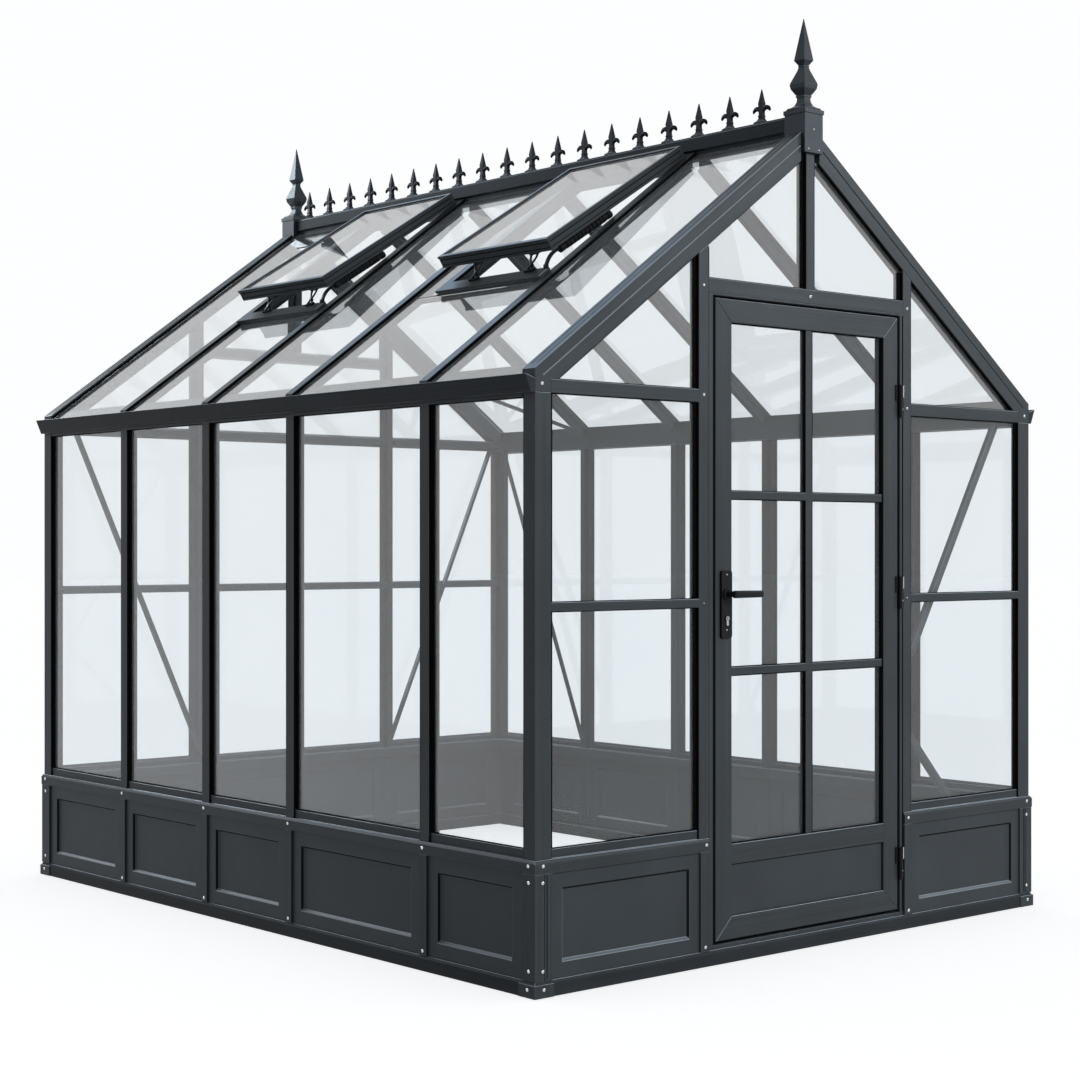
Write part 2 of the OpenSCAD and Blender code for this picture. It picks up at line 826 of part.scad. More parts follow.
// The x and z of a point of the open sash, s down from its hinge and n above the hinge line
function on_sash_pt(s, n) = [
    hinge_x - s * cos(sash_a) - n * sin(sash_a), hinge_z - s * sin(sash_a) + n * cos(sash_a)];

// Places children at the front line of each bay that has a vent
module at_vents() {
    for (i = vent_bays) translate([0, line_y(i), 0]) children();
}

// Places children on the slope: x runs up from the lower edge of a vent sill, z is square to the glass
module on_roof() {
    translate([sill_x, 0, roof_z(sill_x, 0)]) rotate([0, -pitch, 0]) children();
}

// Places children in the frame of an open sash: x runs up the sash to its hinge
module on_sash() {
    at_vents() translate([hinge_x, sash_play / 2, hinge_z]) rotate([0, -sash_a, 0]) children();
}

module vent_curbs() {
    gap = roof_cap_w / 2 + seam;
    low = -20;
    color(frame_grey) {
        at_vents() {
            on_roof() {
                block([0, gap, curb_n], [vent_sill, vent_bay - gap, deck_n]);
                block([lip_s, gap, low], [lip_s + skirt_t, vent_bay - gap, curb_n + cut]);
                block([vent_sill - skirt_t, gap, low], [vent_sill, vent_bay - gap, curb_n + cut]);
            }
            slope_slab(hinge_x - 12, -ridge_neck_w / 2 - seam, low, strip_n, gap, vent_bay - gap);
        }
        // The rail that carries the foot of the trimmer and of the narrow light
        translate([0, line_y(1), 0]) on_roof()
            block([lip_s, vent_bay - gap - cut, low],
                  [lip_s + skirt_t, vent_bay + side_light - gap, -seam]);
    }
}

module vent_sashes() {
    r = sash_rail;
    ledge = 12;
    lip = 4;
    color(frame_grey) on_sash() {
        difference() {
            block([-sash_len, 0, -roll_r], [0, sash_w, sash_d - roll_r]);
            block([-sash_len + r, r, -roll_r - cut], [-r, sash_w - r, sash_d]);
            block([-sash_len + ledge, ledge, sash_d - roll_r - 10], [-ledge, sash_w - ledge, sash_d]);
        }
        block([-sash_len - lip, 0, sash_d - roll_r - 8], [-sash_len + cut, sash_w, sash_d - roll_r]);
        rotate([-90, 0, 0]) cylinder(h = sash_w, r = roll_r);
    }
}

module vent_glass() {
    edge = 12 + glass_play;
    z = sash_d - roll_r - 10 + seam;
    color(clear_glass) on_sash()
        block([-sash_len + edge, edge, z], [-edge, sash_w - edge, z + glass_t]);
}

// A curved arm in the x-z plane, from one point to another, with round eyes
module bowed_arm(a, b, bow, thick) {
    d = norm(b - a);
    turn = atan2(b[1] - a[1], b[0] - a[0]);
    r = (d * d / 4 + bow * bow) / (2 * bow);
    translate([a[0], 0, a[1]]) rotate([0, -turn, 0]) rotate([90, 0, 0]) translate([0, 0, -thick / 2])
        linear_extrude(thick) {
            intersection() {
                translate([d / 2, bow - r]) difference() {
                    circle(r + 5, $fn = 96);
                    circle(r - 5, $fn = 96);
                }
                translate([0, -4]) square([d, bow + 10]);
            }
            circle(8);
            translate([d, 0]) circle(8);
        }
}

stay_w = 44;
stay_pad = 6;
// Where a stay stands on the vent sill, and how far down the sash its head is
stay_foot = vent_sill - 11;
stay_head = sash_len - 13;
stay_a = on_slope(stay_foot, deck_n + seam + stay_pad / 2);
stay_b = on_sash_pt(stay_head, -roll_r - seam - stay_pad / 2);
stay_h = norm(stay_b - stay_a);
stay_lean = atan2(stay_b[0] - stay_a[0], stay_b[1] - stay_a[1]);

// The two crossing legs of a casement stay
module stay_legs() {
    spread = stay_w / 2 - 7;
    turn = atan2(2 * spread, stay_h);
    for (side = [-1, 1]) translate([0, -side * spread, 0]) rotate([-side * turn, 0, 0])
        translate([-3 - side / 2, -4.5, 0]) cube([6 + side, 9, norm([2 * spread, stay_h])]);
}

module vent_stays() {
    w = stay_w / 2;
    color(dark_grey) for (share = [0.18, 0.68]) translate([0, share * vent_bay, 0]) {
        at_vents() {
            translate([stay_a[0], 0, stay_a[1]]) rotate([0, stay_lean, 0]) stay_legs();
            on_roof() block([stay_foot - 8, -w, deck_n + seam], [stay_foot + 8, w, deck_n + seam + stay_pad]);
        }
        on_sash() translate([-stay_head, -sash_play / 2, 0])
            block([-8, -w, -roll_r - seam - stay_pad], [8, w, -roll_r - seam]);
    }
}

opener_r = 13;
opener_drop = roll_r + opener_r + 1;

// The tube of an automatic opener, ribbed along its length
module opener_tube(len) {
    neck = opener_r - 3;
    ribs = [for (x = [30:18:len - 40]) each [[x, neck], [x, opener_r], [x + 11, opener_r], [x + 11, neck]]];
    rotate([0, 90, 0]) rotate_extrude() polygon([for (p = concat(
        [[0, 0], [0, opener_r - 2], [2, opener_r], [18, opener_r], [18, neck]], ribs,
        [[len - 16, neck], [len - 16, opener_r], [len, opener_r], [len, 0]])) [p[1], p[0]]]);
}

module vent_openers() {
    len = 250;
    y = sash_rail / 2 + 2;
    foot_s = 40;
    low = on_slope(vent_sill - 11, deck_n + 8 + seam);
    high = on_sash_pt(sash_len - foot_s - 10, -opener_drop);
    color(dark_grey) {
        on_sash() translate([foot_s - sash_len, y, -opener_drop]) {
            opener_tube(len);
            for (x = [4, len - 14]) block([x, -6, opener_r - 4], [x + 10, 6, opener_drop - roll_r - seam]);
        }
        at_vents() translate([0, y + sash_play / 2, 0]) bowed_arm(low, high, 12, 8);
    }
}

// ---- braces

// A flat bar on the inside of the front wall, from a to b in x and z
module gable_brace(a, b) {
    d = b - a;
    translate([a[0], -half_l + bar_d + seam, a[1]]) rotate([0, -atan2(d[1], d[0]), 0])
        translate([0, 0, -12]) cube([norm(d), 4, 24]);
}

module wind_braces() {
    corner = half_w - 100;
    foot = sill_top + 40;
    start = half_l - rafter_t - 20; // clear of the foot of the rear rafter
    run = start - line_y(4);
    rise = eave_z + 20 - foot;
    bar = norm([rise, run]);
    // The brace under the rear bay of the right slope, in plan
    under_n = -roof_bar_n - seam;
    low_end = [-half_w + 90, line_y(4)];
    high_end = [-half_w + 420, half_l - rafter_t];
    way = (high_end - low_end) / norm(high_end - low_end);
    half_bar = 12 * [-way[1], way[0]];
    color(frame_grey) {
        mirror([1, 0, 0]) intersection() {
            slope_slab(-half_w + 60, -half_w + 500, under_n - 4, under_n,
                line_y(4) - 12, half_l - rafter_t - seam);
            linear_extrude(2 * ridge_z) polygon([
                low_end - 40 * way - half_bar, high_end + 40 * way - half_bar,
                high_end + 40 * way + half_bar, low_end - 40 * way + half_bar]);
        }
        mirror([0, 1, 0]) both_sides() gable_brace([-corner, tie_z], [-post_x, foot]);
        gable_brace([corner, tie_z], [post_x, mid_rail_z - 330]);
        gable_brace([post_x, mid_rail_z - 370], [half_w - 370, foot - 20]);
        translate([half_w - bar_d - 4 - seam, start, eave_z + 20])
            rotate([atan2(rise, run), 0, 0]) translate([0, -bar, -12]) cube([4, bar, 24]);
    }
}

// ---- door frame

stop_d = leaf_t + stop_gap;
stop_t = 7;
stop_lap = 10;

// A level member of the door lining from z0 to z1, with its stop from s0 to s1
module lining_rail(z0, z1, s0, s1) {
    x0 = leaf_w / 2 + door_gap - seam;
    x1 = leaf_w / 2 - stop_lap - seam;
    block([-x0, 0, z0], [x0, stop_d - seam, z1]);
    block([-x1, 0, z0], [x1, stop_d + stop_t, z1]);
    block([-x1, stop_d, s0], [x1, stop_d + stop_t, s1]);
}

// The lining of the doorway: two jambs, a head and a threshold, each with its stop
module door_jambs() {
    x0 = leaf_w / 2 + door_gap;
    x1 = post_in - seam;
    lap = leaf_w / 2 - stop_lap;
    head = header_z - header_face / 2 - seam;
    d1 = stop_d + stop_t;
    color(frame_grey) translate([0, -half_l, 0]) {
        both_sides() {
            block([-x1, 0, base_h], [-x0, d1, head]);
            block([-x0 - cut, stop_d, base_h], [-lap, d1, head]);
        }
        lining_rail(leaf_top + head_gap, head, leaf_top - stop_lap, head);
        lining_rail(base_h, leaf_z - foot_gap, base_h, leaf_z + stop_lap);
    }
}

hinge_zs = [leaf_z + low_hinge, leaf_z + low_hinge + mid_hinge, leaf_top - top_hinge];
hinge_ax = leaf_w / 2 + door_gap / 2;
hinge_ay = -half_l - knuckle_r - 1;
plate_t = 3;
plate_w = 12;

module jamb_hinges() {
    color(dark_grey) for (z = hinge_zs) translate([0, 0, z]) {
        translate([hinge_ax, hinge_ay, -hinge_h / 2]) {
            cylinder(h = hinge_h / 2 - 0.5, r = knuckle_r);
            cylinder(h = hinge_h - 8, r = pin_r);
        }
        block([hinge_ax, -half_l - plate_t, -hinge_h / 2], [post_in - 1, -half_l - seam, -0.5]);
    }
}

module leaf_hinges() {
    x1 = leaf_w / 2;
    color(dark_grey) for (z = hinge_zs) translate([0, 0, z]) difference() {
        union() {
            translate([hinge_ax, hinge_ay, 0.5]) cylinder(h = hinge_h / 2 - 0.5, r = knuckle_r);
            block([x1 - plate_w, -half_l - plate_t, 0.5], [hinge_ax, -half_l - seam, hinge_h / 2]);
        }
        translate([hinge_ax, hinge_ay, -cut]) cylinder(h = hinge_h / 2 - 4, r = pin_r + 0.08);
    }
}

// ---- door leaf

lever_x = -leaf_w / 2 + lever_set;
lever_h = leaf_z + lever_z;
field_x = leaf_w / 2 - stile_w;
glass_z0 = leaf_z + stile_w + kick_h + lock_rail;
glass_z1 = leaf_top - stile_w;
rebate = 8;
door_glass_d = 18;

module door_frame() {
    color(frame_grey) translate([0, -half_l, 0]) difference() {
        block([-leaf_w / 2, 0, leaf_z], [leaf_w / 2, leaf_t, leaf_top]);
        block([-field_x, -cut, glass_z0], [field_x, leaf_t + cut, glass_z1]);
        block([-field_x - rebate, door_glass_d, glass_z0 - rebate],
              [field_x + rebate, leaf_t + cut, glass_z1 + rebate]);
        block([-field_x, -cut, leaf_z + stile_w], [field_x, leaf_t + cut, leaf_z + stile_w + kick_h]);
        translate([lever_x, -cut, lever_h]) rotate([-90, 0, 0])
            cylinder(h = leaf_t + 2 * cut, r = lever_r + 4);
        translate([lever_x, -cut, lever_h - lock_drop]) rotate([-90, 0, 0])
            cylinder(h = leaf_t + 2 * cut, r = 11);
    }
}

module door_glass() {
    e = rebate - glass_play;
    color(clear_glass) translate([0, -half_l, 0]) block(
        [-field_x - e, door_glass_d + seam, glass_z0 - e],
        [field_x + e, door_glass_d + seam + glass_t, glass_z1 + e]);
}

// The grid of bars on one face of the door glass, d0 to d1 deep
module door_grid(d0, d1, lap) {
    pane = (glass_z1 - glass_z0 - 2 * door_bar_h) / 3;
    block([-door_bar_w / 2, d0, glass_z0 - lap], [door_bar_w / 2, d1, glass_z1 + lap]);
    for (k = [1, 2]) {
        z = glass_z0 + k * pane + (k - 1) * door_bar_h;
        block([-field_x - lap, d0, z], [field_x + lap, d1, z + door_bar_h]);
    }
}

module door_bars() {
    back = door_glass_d + 2 * seam + glass_t;
    color(frame_grey) translate([0, -half_l, 0]) {
        door_grid(6, door_glass_d, -seam);
        door_grid(back, back + 10, -seam);
    }
}

module kick_panel() {
    x = field_x - seam;
    z0 = leaf_z + stile_w + seam;
    color(frame_grey) translate([0, -half_l, 0]) block([-x, 8, z0], [x, 26, z0 + kick_h - 2 * seam]);
}

module plate_outline() {
    r = 8;
    hull() for (side = [-1, 1], y = [62, -lock_drop - 50]) translate([side * 14, y]) circle(r, $fn = 32);
}

module handle_plates() {
    t = 8;
    color(dark_grey) translate([lever_x, -half_l, lever_h]) {
        for (d = [-t - seam, leaf_t + seam]) translate([0, d + t, 0]) rotate([90, 0, 0])
            difference() {
                linear_extrude(t) plate_outline();
                translate([0, 0, -cut]) cylinder(h = t + 2 * cut, r = lever_r + 0.08);
            }
        translate([0, -t - 3, -lock_drop]) rotate([-90, 0, 0]) cylinder(h = leaf_t + 2 * t + 6, r = 9);
    }
}

// One lever, from the middle of the leaf to its grip
module half_lever(reach) {
    bend = 16;
    rotate([90, 0, 0]) cylinder(h = reach - bend, r = lever_r);
    translate([bend, -reach + bend, 0]) rotate([0, 0, 180]) rotate_extrude(angle = 90)
        translate([bend, 0]) circle(lever_r);
    translate([bend, -reach, 0]) rotate([0, 90, 0]) cylinder(h = grip_l - bend - lever_r, r = lever_r);
}

module door_lever() {
    reach = leaf_t / 2 + grip_out;
    color(dark_grey) translate([lever_x, -half_l + leaf_t / 2, lever_h]) both_ends() half_lever(reach);
}

base_rails();
corner_covers();
panel_strips();
side_base_panels();
gable_base_panels();
sill_rails();
corner_posts();
side_posts();
rear_posts();
door_posts();
king_posts();
front_rails();
rear_rails();
door_header();
eave_beams();
gutters();
front_rafters();
rear_rafters();
left_roof_bars();
right_roof_bars();
ridge_beam();
ridge_blocks();
finials();
ridge_cresting();
left_wall_glass();
right_wall_glass();
front_wall_glass();
rear_wall_glass();
left_roof_glass();
right_roof_glass();
vent_curbs();
vent_sashes();
vent_glass();
vent_stays();
vent_openers();
wind_braces();
door_jambs();
jamb_hinges();
door_frame();
door_glass();
door_bars();
kick_panel();
leaf_hinges();
handle_plates();
door_lever();
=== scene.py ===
# %% [markdown]
# # A Victorian garden greenhouse
# The solid model gives every bar, pane and panel its true place. This lesson dresses
# it: a camera and a white studio first, then the finishes, and then the small parts
# that make aluminium look assembled, such as seals, screws, pins and castings.
# The solids stay where they are; a new piece is fitted over them, or stands for one.

# %% Load the model
import json
import math

import bmesh
import bpy
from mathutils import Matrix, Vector

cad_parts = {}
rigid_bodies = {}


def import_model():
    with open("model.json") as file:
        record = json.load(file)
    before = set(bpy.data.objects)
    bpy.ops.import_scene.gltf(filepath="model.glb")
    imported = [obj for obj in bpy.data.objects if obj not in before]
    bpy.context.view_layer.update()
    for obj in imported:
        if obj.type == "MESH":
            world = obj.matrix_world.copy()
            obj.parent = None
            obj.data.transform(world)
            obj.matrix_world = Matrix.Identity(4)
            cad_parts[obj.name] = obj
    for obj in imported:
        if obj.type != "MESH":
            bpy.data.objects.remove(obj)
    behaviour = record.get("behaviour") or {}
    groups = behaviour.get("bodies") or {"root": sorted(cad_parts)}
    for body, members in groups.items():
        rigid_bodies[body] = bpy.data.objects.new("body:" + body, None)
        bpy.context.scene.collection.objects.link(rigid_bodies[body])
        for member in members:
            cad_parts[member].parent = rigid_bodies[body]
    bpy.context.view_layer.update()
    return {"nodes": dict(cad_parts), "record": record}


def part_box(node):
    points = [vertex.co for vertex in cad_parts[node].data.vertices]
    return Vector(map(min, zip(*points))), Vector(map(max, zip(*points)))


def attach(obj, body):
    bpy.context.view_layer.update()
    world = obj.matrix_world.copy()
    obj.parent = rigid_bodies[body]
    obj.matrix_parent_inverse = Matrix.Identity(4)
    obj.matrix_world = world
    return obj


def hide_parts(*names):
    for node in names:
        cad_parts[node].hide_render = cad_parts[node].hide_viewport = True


for left_over in list(bpy.data.objects):
    bpy.data.objects.remove(left_over)
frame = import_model()
nodes = frame["nodes"]

# %% [markdown]
# ## The camera
# A building looks upright when the camera stays level, so it only turns about the
# vertical. It stands at the height of a child's eye, off the corner beside the door,
# and a long lens keeps the two walls calm. A tiny shift lifts the horizon into place.

# %% Camera
camera = bpy.data.objects.new("camera", bpy.data.cameras.new("camera"))
bpy.context.scene.collection.objects.link(camera)
bpy.context.scene.camera = camera
camera_place = (-4.787, -5.668, 1.238)
camera_turn = 40.9
camera.location = camera_place
camera.rotation_euler = (math.radians(90), 0, math.radians(-camera_turn))
camera.data.sensor_width = 36
camera.data.lens = 68.67
camera.data.shift_y = 0.0045
camera.data.clip_end = 200
print("camera turned", camera_turn, "degrees from the long wall, and", camera_place[2], "m up")

# %% [markdown]
# ## The studio
# The greenhouse stands in a white studio. One background serves two ends: metal and
# glass see it at full white, while its light on painted surfaces is weaker, so that
# dark paint stays dark. Light Path tells the two kinds of ray apart.

# %% White surroundings
bpy.context.scene.view_settings.view_transform = "Standard"
world = bpy.data.worlds.new("studio")
bpy.context.scene.world = world
world.use_nodes = True


def sees_background(tree):
    """A socket that is 1 for rays that show the background, and 0 for those that light."""
    path = tree.nodes.new("ShaderNodeLightPath")
    total = path.outputs["Is Camera Ray"]
    for name in ("Is Glossy Ray", "Is Transmission Ray"):
        join = tree.nodes.new("ShaderNodeMath")
        join.operation = "MAXIMUM"
        tree.links.new(total, join.inputs[0])
        tree.links.new(path.outputs[name], join.inputs[1])
        total = join.outputs[0]
    return total


def seen_strength(tree, lighting, seen):
    """A strength that is one value for rays that light and another for rays that show."""
    level = tree.nodes.new("ShaderNodeMapRange")
    level.inputs["To Min"].default_value = lighting
    level.inputs["To Max"].default_value = seen
    tree.links.new(sees_background(tree), level.inputs["Value"])
    return level.outputs[0]


sky_lights, sky_shows = 0.42, 1.0
sky = world.node_tree.nodes["Background"]
sky.inputs["Color"].default_value = (0.985, 0.993, 1.0, 1)
world.node_tree.links.new(seen_strength(world.node_tree, sky_lights, sky_shows), sky.inputs["Strength"])
print("the sky shows at", sky_shows, "and lights at", sky_lights)

# %% [markdown]
# ## The floor
# The floor is a plain sheet, wide enough that its edge is out of reach. Painted on its
# own it would look grey beside a white background, so it glows as well, by as much as
# matt white lacks. It keeps the soft shadow of the walls and scatters light up under
# the eaves. Rays that carry its light get only half of the glow. The floor's matt
# colour leans to blue, which keeps the inner faces of the dwarf wall cool.

# %% Floor
bpy.ops.mesh.primitive_plane_add(size=120, location=(0, 0, -0.001))
floor = bpy.context.active_object
floor.name = "studio_floor"
print("floor", floor.dimensions.x, "m across")

# %% White paper for the floor
near, far = 2.0, 6.5
glow_near, glow_far, glow_that_lights = 0.71, 0.67, 0.5
paper = bpy.data.materials.new("studio_paper")
paper.use_nodes = True
tree = paper.node_tree
tree.nodes.clear()
matt = tree.nodes.new("ShaderNodeBsdfDiffuse")
matt.inputs["Color"].default_value = (0.77, 0.8, 0.83, 1)
spot = tree.nodes.new("ShaderNodeNewGeometry")
reach = tree.nodes.new("ShaderNodeVectorMath")
reach.operation = "LENGTH"
tree.links.new(spot.outputs["Position"], reach.inputs[0])
fade = tree.nodes.new("ShaderNodeMapRange")
for name, value in {"From Min": near, "From Max": far, "To Min": glow_near, "To Max": glow_far}.items():
    fade.inputs[name].default_value = value
tree.links.new(reach.outputs["Value"], fade.inputs["Value"])
seen_glow = tree.nodes.new("ShaderNodeMath")
seen_glow.operation = "MULTIPLY"
tree.links.new(fade.outputs[0], seen_glow.inputs[0])
tree.links.new(seen_strength(tree, glow_that_lights, 1.0), seen_glow.inputs[1])
glow = tree.nodes.new("ShaderNodeEmission")
tree.links.new(seen_glow.outputs[0], glow.inputs["Strength"])
both = tree.nodes.new("ShaderNodeAddShader")
surface = tree.nodes.new("ShaderNodeOutputMaterial")
tree.links.new(matt.outputs[0], both.inputs[0])
tree.links.new(glow.outputs[0], both.inputs[1])
tree.links.new(both.outputs[0], surface.inputs["Surface"])
floor.data.materials.append(paper)
print("the floor glows at", glow_near, "beside the walls and at", glow_far, "where the horizon would show")

# %% [markdown]
# ## The lamps
# Satin paint shows its shape by what it mirrors. A wide lamp fills the gable evenly, and
# a weaker one beside it stands where the top of the gable mirrors it to the camera.
# A blue one far behind is the patch of sky that the roof bars mirror, and two more
# draw the bright lines on the sills. Light linking keeps all of them off the floor,
# so that it stays one even white, and off the panes, which would mirror each as a disc.


# %% A soft lamp
unlit = bpy.data.collections.new("unlit")
unlit.objects.link(floor)


def soft_lamp(name, place, target, size, power, colour=(1.0, 1.0, 0.99), mirrored=True):
    """A round lamp at a place, aimed at a target; size in metres, power in watts."""
    data = bpy.data.lights.new(name, "AREA")
    data.shape = "DISK"
    data.size = size
    data.energy = power
    data.color = colour
    lamp = bpy.data.objects.new(name, data)
    bpy.context.scene.collection.objects.link(lamp)
    lamp.location = place
    lamp.rotation_euler = (Vector(target) - Vector(place)).to_track_quat("-Z", "Y").to_euler()
    lamp.visible_glossy = mirrored
    lamp.light_linking.receiver_collection = unlit


# %% Lamps
sky_blue, pale_blue = (0.42, 0.68, 1.0), (0.86, 0.94, 1.0)
soft_lamp("gable_fill", (0.4, -8.6, 4.4), (0, -1.4, 1.8), 2.6, 800, mirrored=False)
soft_lamp("gable_sheen", (4.0, -5.8, 3.7), (0, -1.4, 2.4), 3.0, 100)
soft_lamp("sky_sheen", (1.4, 5.4, 7.0), (-0.9, -0.6, 1.9), 3.2, 75, sky_blue)
soft_lamp("long_sill_line", (-2.1, 6.7, 4.7), (-1.1, -0.2, 0.4), 2.6, 420, pale_blue)
soft_lamp("gable_sill_line", (7.1, -2.4, 5.2), (0.4, -1.4, 0.4), 2.6, 120, pale_blue)

# %% [markdown]
# ## Powder coat
# The whole frame is aluminium under a baked anthracite powder coat. Such a coat is
# satin, with a faint orange peel, and it is never one even grey: film thickness and
# handling leave very soft clouds in it. Noise at three scales gives the clouds, the
# change in gloss and the peel. Under the coat, an extruded bar keeps fine lines from
# its die, which run along it: the same noise, stretched far along one way. The
# stretch follows the bar, so uprights, level rails and sloping bars each get a coat.
# For the slopes the two halves of the roof are folded onto one, then turned level.

# %% Lines along a bar
roof_pitch = math.radians(36)


def stretched(tree, vector, grain, sloped):
    """Coordinates that are pulled out along the bars, which may follow the roof."""
    if sloped:
        fold = tree.nodes.new("ShaderNodeVectorMath")
        fold.operation = "ABSOLUTE"
        tree.links.new(vector, fold.inputs[0])
        turn = tree.nodes.new("ShaderNodeVectorRotate")
        turn.rotation_type = "Y_AXIS"
        turn.inputs["Angle"].default_value = -roof_pitch
        tree.links.new(fold.outputs[0], turn.inputs["Vector"])
        vector = turn.outputs[0]
    pull = tree.nodes.new("ShaderNodeVectorMath")
    pull.operation = "MULTIPLY"
    pull.inputs[1].default_value = grain
    tree.links.new(vector, pull.inputs[0])
    return pull.outputs[0]


fine, long = 170, 1.2
grains = {"upright": ((fine, fine, long), False), "level": ((long, long, fine), False),
          "sloped": ((long, fine, fine), True)}
print("die lines are", round(fine / long), "times as long as wide")


# %% A finish maker
def finish(name, colour, roughness, cloud=0.12, peel=0.05, peel_scale=900, metal=0.0, tint=None, level=0.5,
           grain=None, sloped=False, lines=0.14):
    """A painted or metal finish: colour with clouds and die lines, uneven gloss, a fine bump."""
    made = bpy.data.materials.new(name)
    made.use_nodes = True
    tree = made.node_tree
    shader = tree.nodes["Principled BSDF"]
    place = tree.nodes.new("ShaderNodeTexCoord")

    def noise(scale, detail, vector=place.outputs["Object"]):
        node = tree.nodes.new("ShaderNodeTexNoise")
        node.inputs["Scale"].default_value = scale
        node.inputs["Detail"].default_value = detail
        tree.links.new(vector, node.inputs["Vector"])
        return node.outputs["Fac"]

    def two_tones(amount, dark, light):
        ramp = tree.nodes.new("ShaderNodeValToRGB")
        ramp.color_ramp.elements[0].position = 0.3
        ramp.color_ramp.elements[1].position = 0.7
        ramp.color_ramp.elements[0].color = (*dark, 1)
        ramp.color_ramp.elements[1].color = (*light, 1)
        tree.links.new(amount, ramp.inputs["Fac"])
        return ramp.outputs["Color"]

    shade = two_tones(noise(3.5, 3), [c * (1 - cloud) for c in colour], [c * (1 + cloud) for c in colour])
    if grain:
        streak = two_tones(noise(1.0, 3, stretched(tree, place.outputs["Object"], grain, sloped)),
                           (1 - lines,) * 3, (1 + lines,) * 3)
        both = tree.nodes.new("ShaderNodeVectorMath")
        both.operation = "MULTIPLY"
        tree.links.new(shade, both.inputs[0])
        tree.links.new(streak, both.inputs[1])
        shade = both.outputs[0]
    tree.links.new(shade, shader.inputs["Base Color"])
    gloss = tree.nodes.new("ShaderNodeMapRange")
    gloss.inputs["To Min"].default_value = roughness - 0.05
    gloss.inputs["To Max"].default_value = roughness + 0.05
    tree.links.new(noise(24, 4), gloss.inputs["Value"])
    tree.links.new(gloss.outputs[0], shader.inputs["Roughness"])
    bump = tree.nodes.new("ShaderNodeBump")
    bump.inputs["Strength"].default_value = peel
    bump.inputs["Distance"].default_value = 0.0004
    tree.links.new(noise(peel_scale, 2), bump.inputs["Height"])
    tree.links.new(bump.outputs["Normal"], shader.inputs["Normal"])
    shader.inputs["Metallic"].default_value = metal
    shader.inputs["Specular IOR Level"].default_value = level
    if tint:
        shader.inputs["Specular Tint"].default_value = (*tint, 1)
    return made


print("finish makes coats by name")

# %% [markdown]
# ## The coats of the frame
# One paint covers the whole frame, but it doesn't look the same everywhere. The rails
# near the ground and the gutter take less light than the posts, and the ridge beam less
# still, so they get darker copies of the paint: painted shade. The castings have a
# rougher skin under it. Each gets its own tone and gloss, close to the first one.

# %% Coats
# A blue tint on what the paint mirrors: a painted reflection of blue sky.
sky_blue_sheen_tint = (0.75, 0.88, 1.0)
anthracite_tone = (0.0205, 0.0238, 0.0265)
anthracite = {run: finish("anthracite_" + run, anthracite_tone, 0.38, tint=sky_blue_sheen_tint, level=0.13,
                          grain=grain, sloped=sloped)
              for run, (grain, sloped) in grains.items()}
panel_coat = finish("panel_coat", (0.021, 0.0245, 0.0275), 0.42, tint=sky_blue_sheen_tint, level=0.15)
level_grain = grains["level"][0]
# The gutter, base rails and ridge beam get darker copies of the paint: painted shade.
gutter_coat_painted_shade = finish("gutter_coat_painted_shade", (0.0145, 0.0168, 0.019), 0.42, tint=sky_blue_sheen_tint, level=0.06,
                     grain=level_grain)
ridge_coat_painted_shade = finish("ridge_coat_painted_shade", (0.009, 0.0115, 0.0145), 0.42, tint=sky_blue_sheen_tint, level=0.05,
                    grain=level_grain)
cast_skin = {"peel": 0.12, "peel_scale": 260, "tint": sky_blue_sheen_tint}
cast_coat = finish("cast_coat", (0.0115, 0.0145, 0.018), 0.34, level=0.17, **cast_skin)
spike_coat = finish("spike_coat", (0.0042, 0.006, 0.0085), 0.42, level=0.07, **cast_skin)
black_coat = finish("black_coat", (0.005, 0.0055, 0.006), 0.34, tint=sky_blue_sheen_tint, level=0.1)
coats = [*anthracite.values(), panel_coat, gutter_coat_painted_shade, ridge_coat_painted_shade, cast_coat, spike_coat, black_coat]
print([coat.name for coat in coats])

# %% [markdown]
# ## The coat of the edges
# A softened edge catches light that the face beside it doesn't. The edges get a coat of
# their own that paints light and shade on them: pale, with a blue painted reflection of
# the sky, where they face up, and dark, a painted shade, where they face down. The
# height of the surface normal picks the tone.

# %% Coat of the edges
edge_painted_lighting = finish("painted_lighting_on_edges", anthracite_tone, 0.4, level=0.2)
edge_tree = edge_painted_lighting.node_tree
facing = edge_tree.nodes.new("ShaderNodeNewGeometry")
upward = edge_tree.nodes.new("ShaderNodeSeparateXYZ")
height_share = edge_tree.nodes.new("ShaderNodeMapRange")
height_share.inputs["From Min"].default_value = -1.0
painted_edge_light = edge_tree.nodes.new("ShaderNodeValToRGB")
painted_shade_below, painted_light_above = painted_edge_light.color_ramp.elements
painted_shade_below.position, painted_light_above.position = 0.3, 0.85
# The ramp paints shade on edges that face down and light, tinted like the sky, on edges that face up.
painted_shade_below.color = (0.014, 0.016, 0.018, 1)
painted_light_above.color = (0.16, 0.19, 0.225, 1)
painted_edge_light.color_ramp.elements.new(0.5).color = (0.034, 0.038, 0.043, 1)
edge_tree.links.new(facing.outputs["Normal"], upward.inputs[0])
edge_tree.links.new(upward.outputs["Z"], height_share.inputs["Value"])
edge_tree.links.new(height_share.outputs[0], painted_edge_light.inputs["Fac"])
edge_tree.links.new(painted_edge_light.outputs["Color"], edge_tree.nodes["Principled BSDF"].inputs["Base Color"])
print("edges go from dark below to pale above")

# %% [markdown]
# ## Rubber, shade and steel
# The gaskets are black rubber, dull and nearly without a gleam. A sunk field has a
# bevel all round: its lower side is a ledge with a painted highlight, and its other
# sides get painted shade. The screws are stainless steel, and the lock cylinder is
# nickel plate.

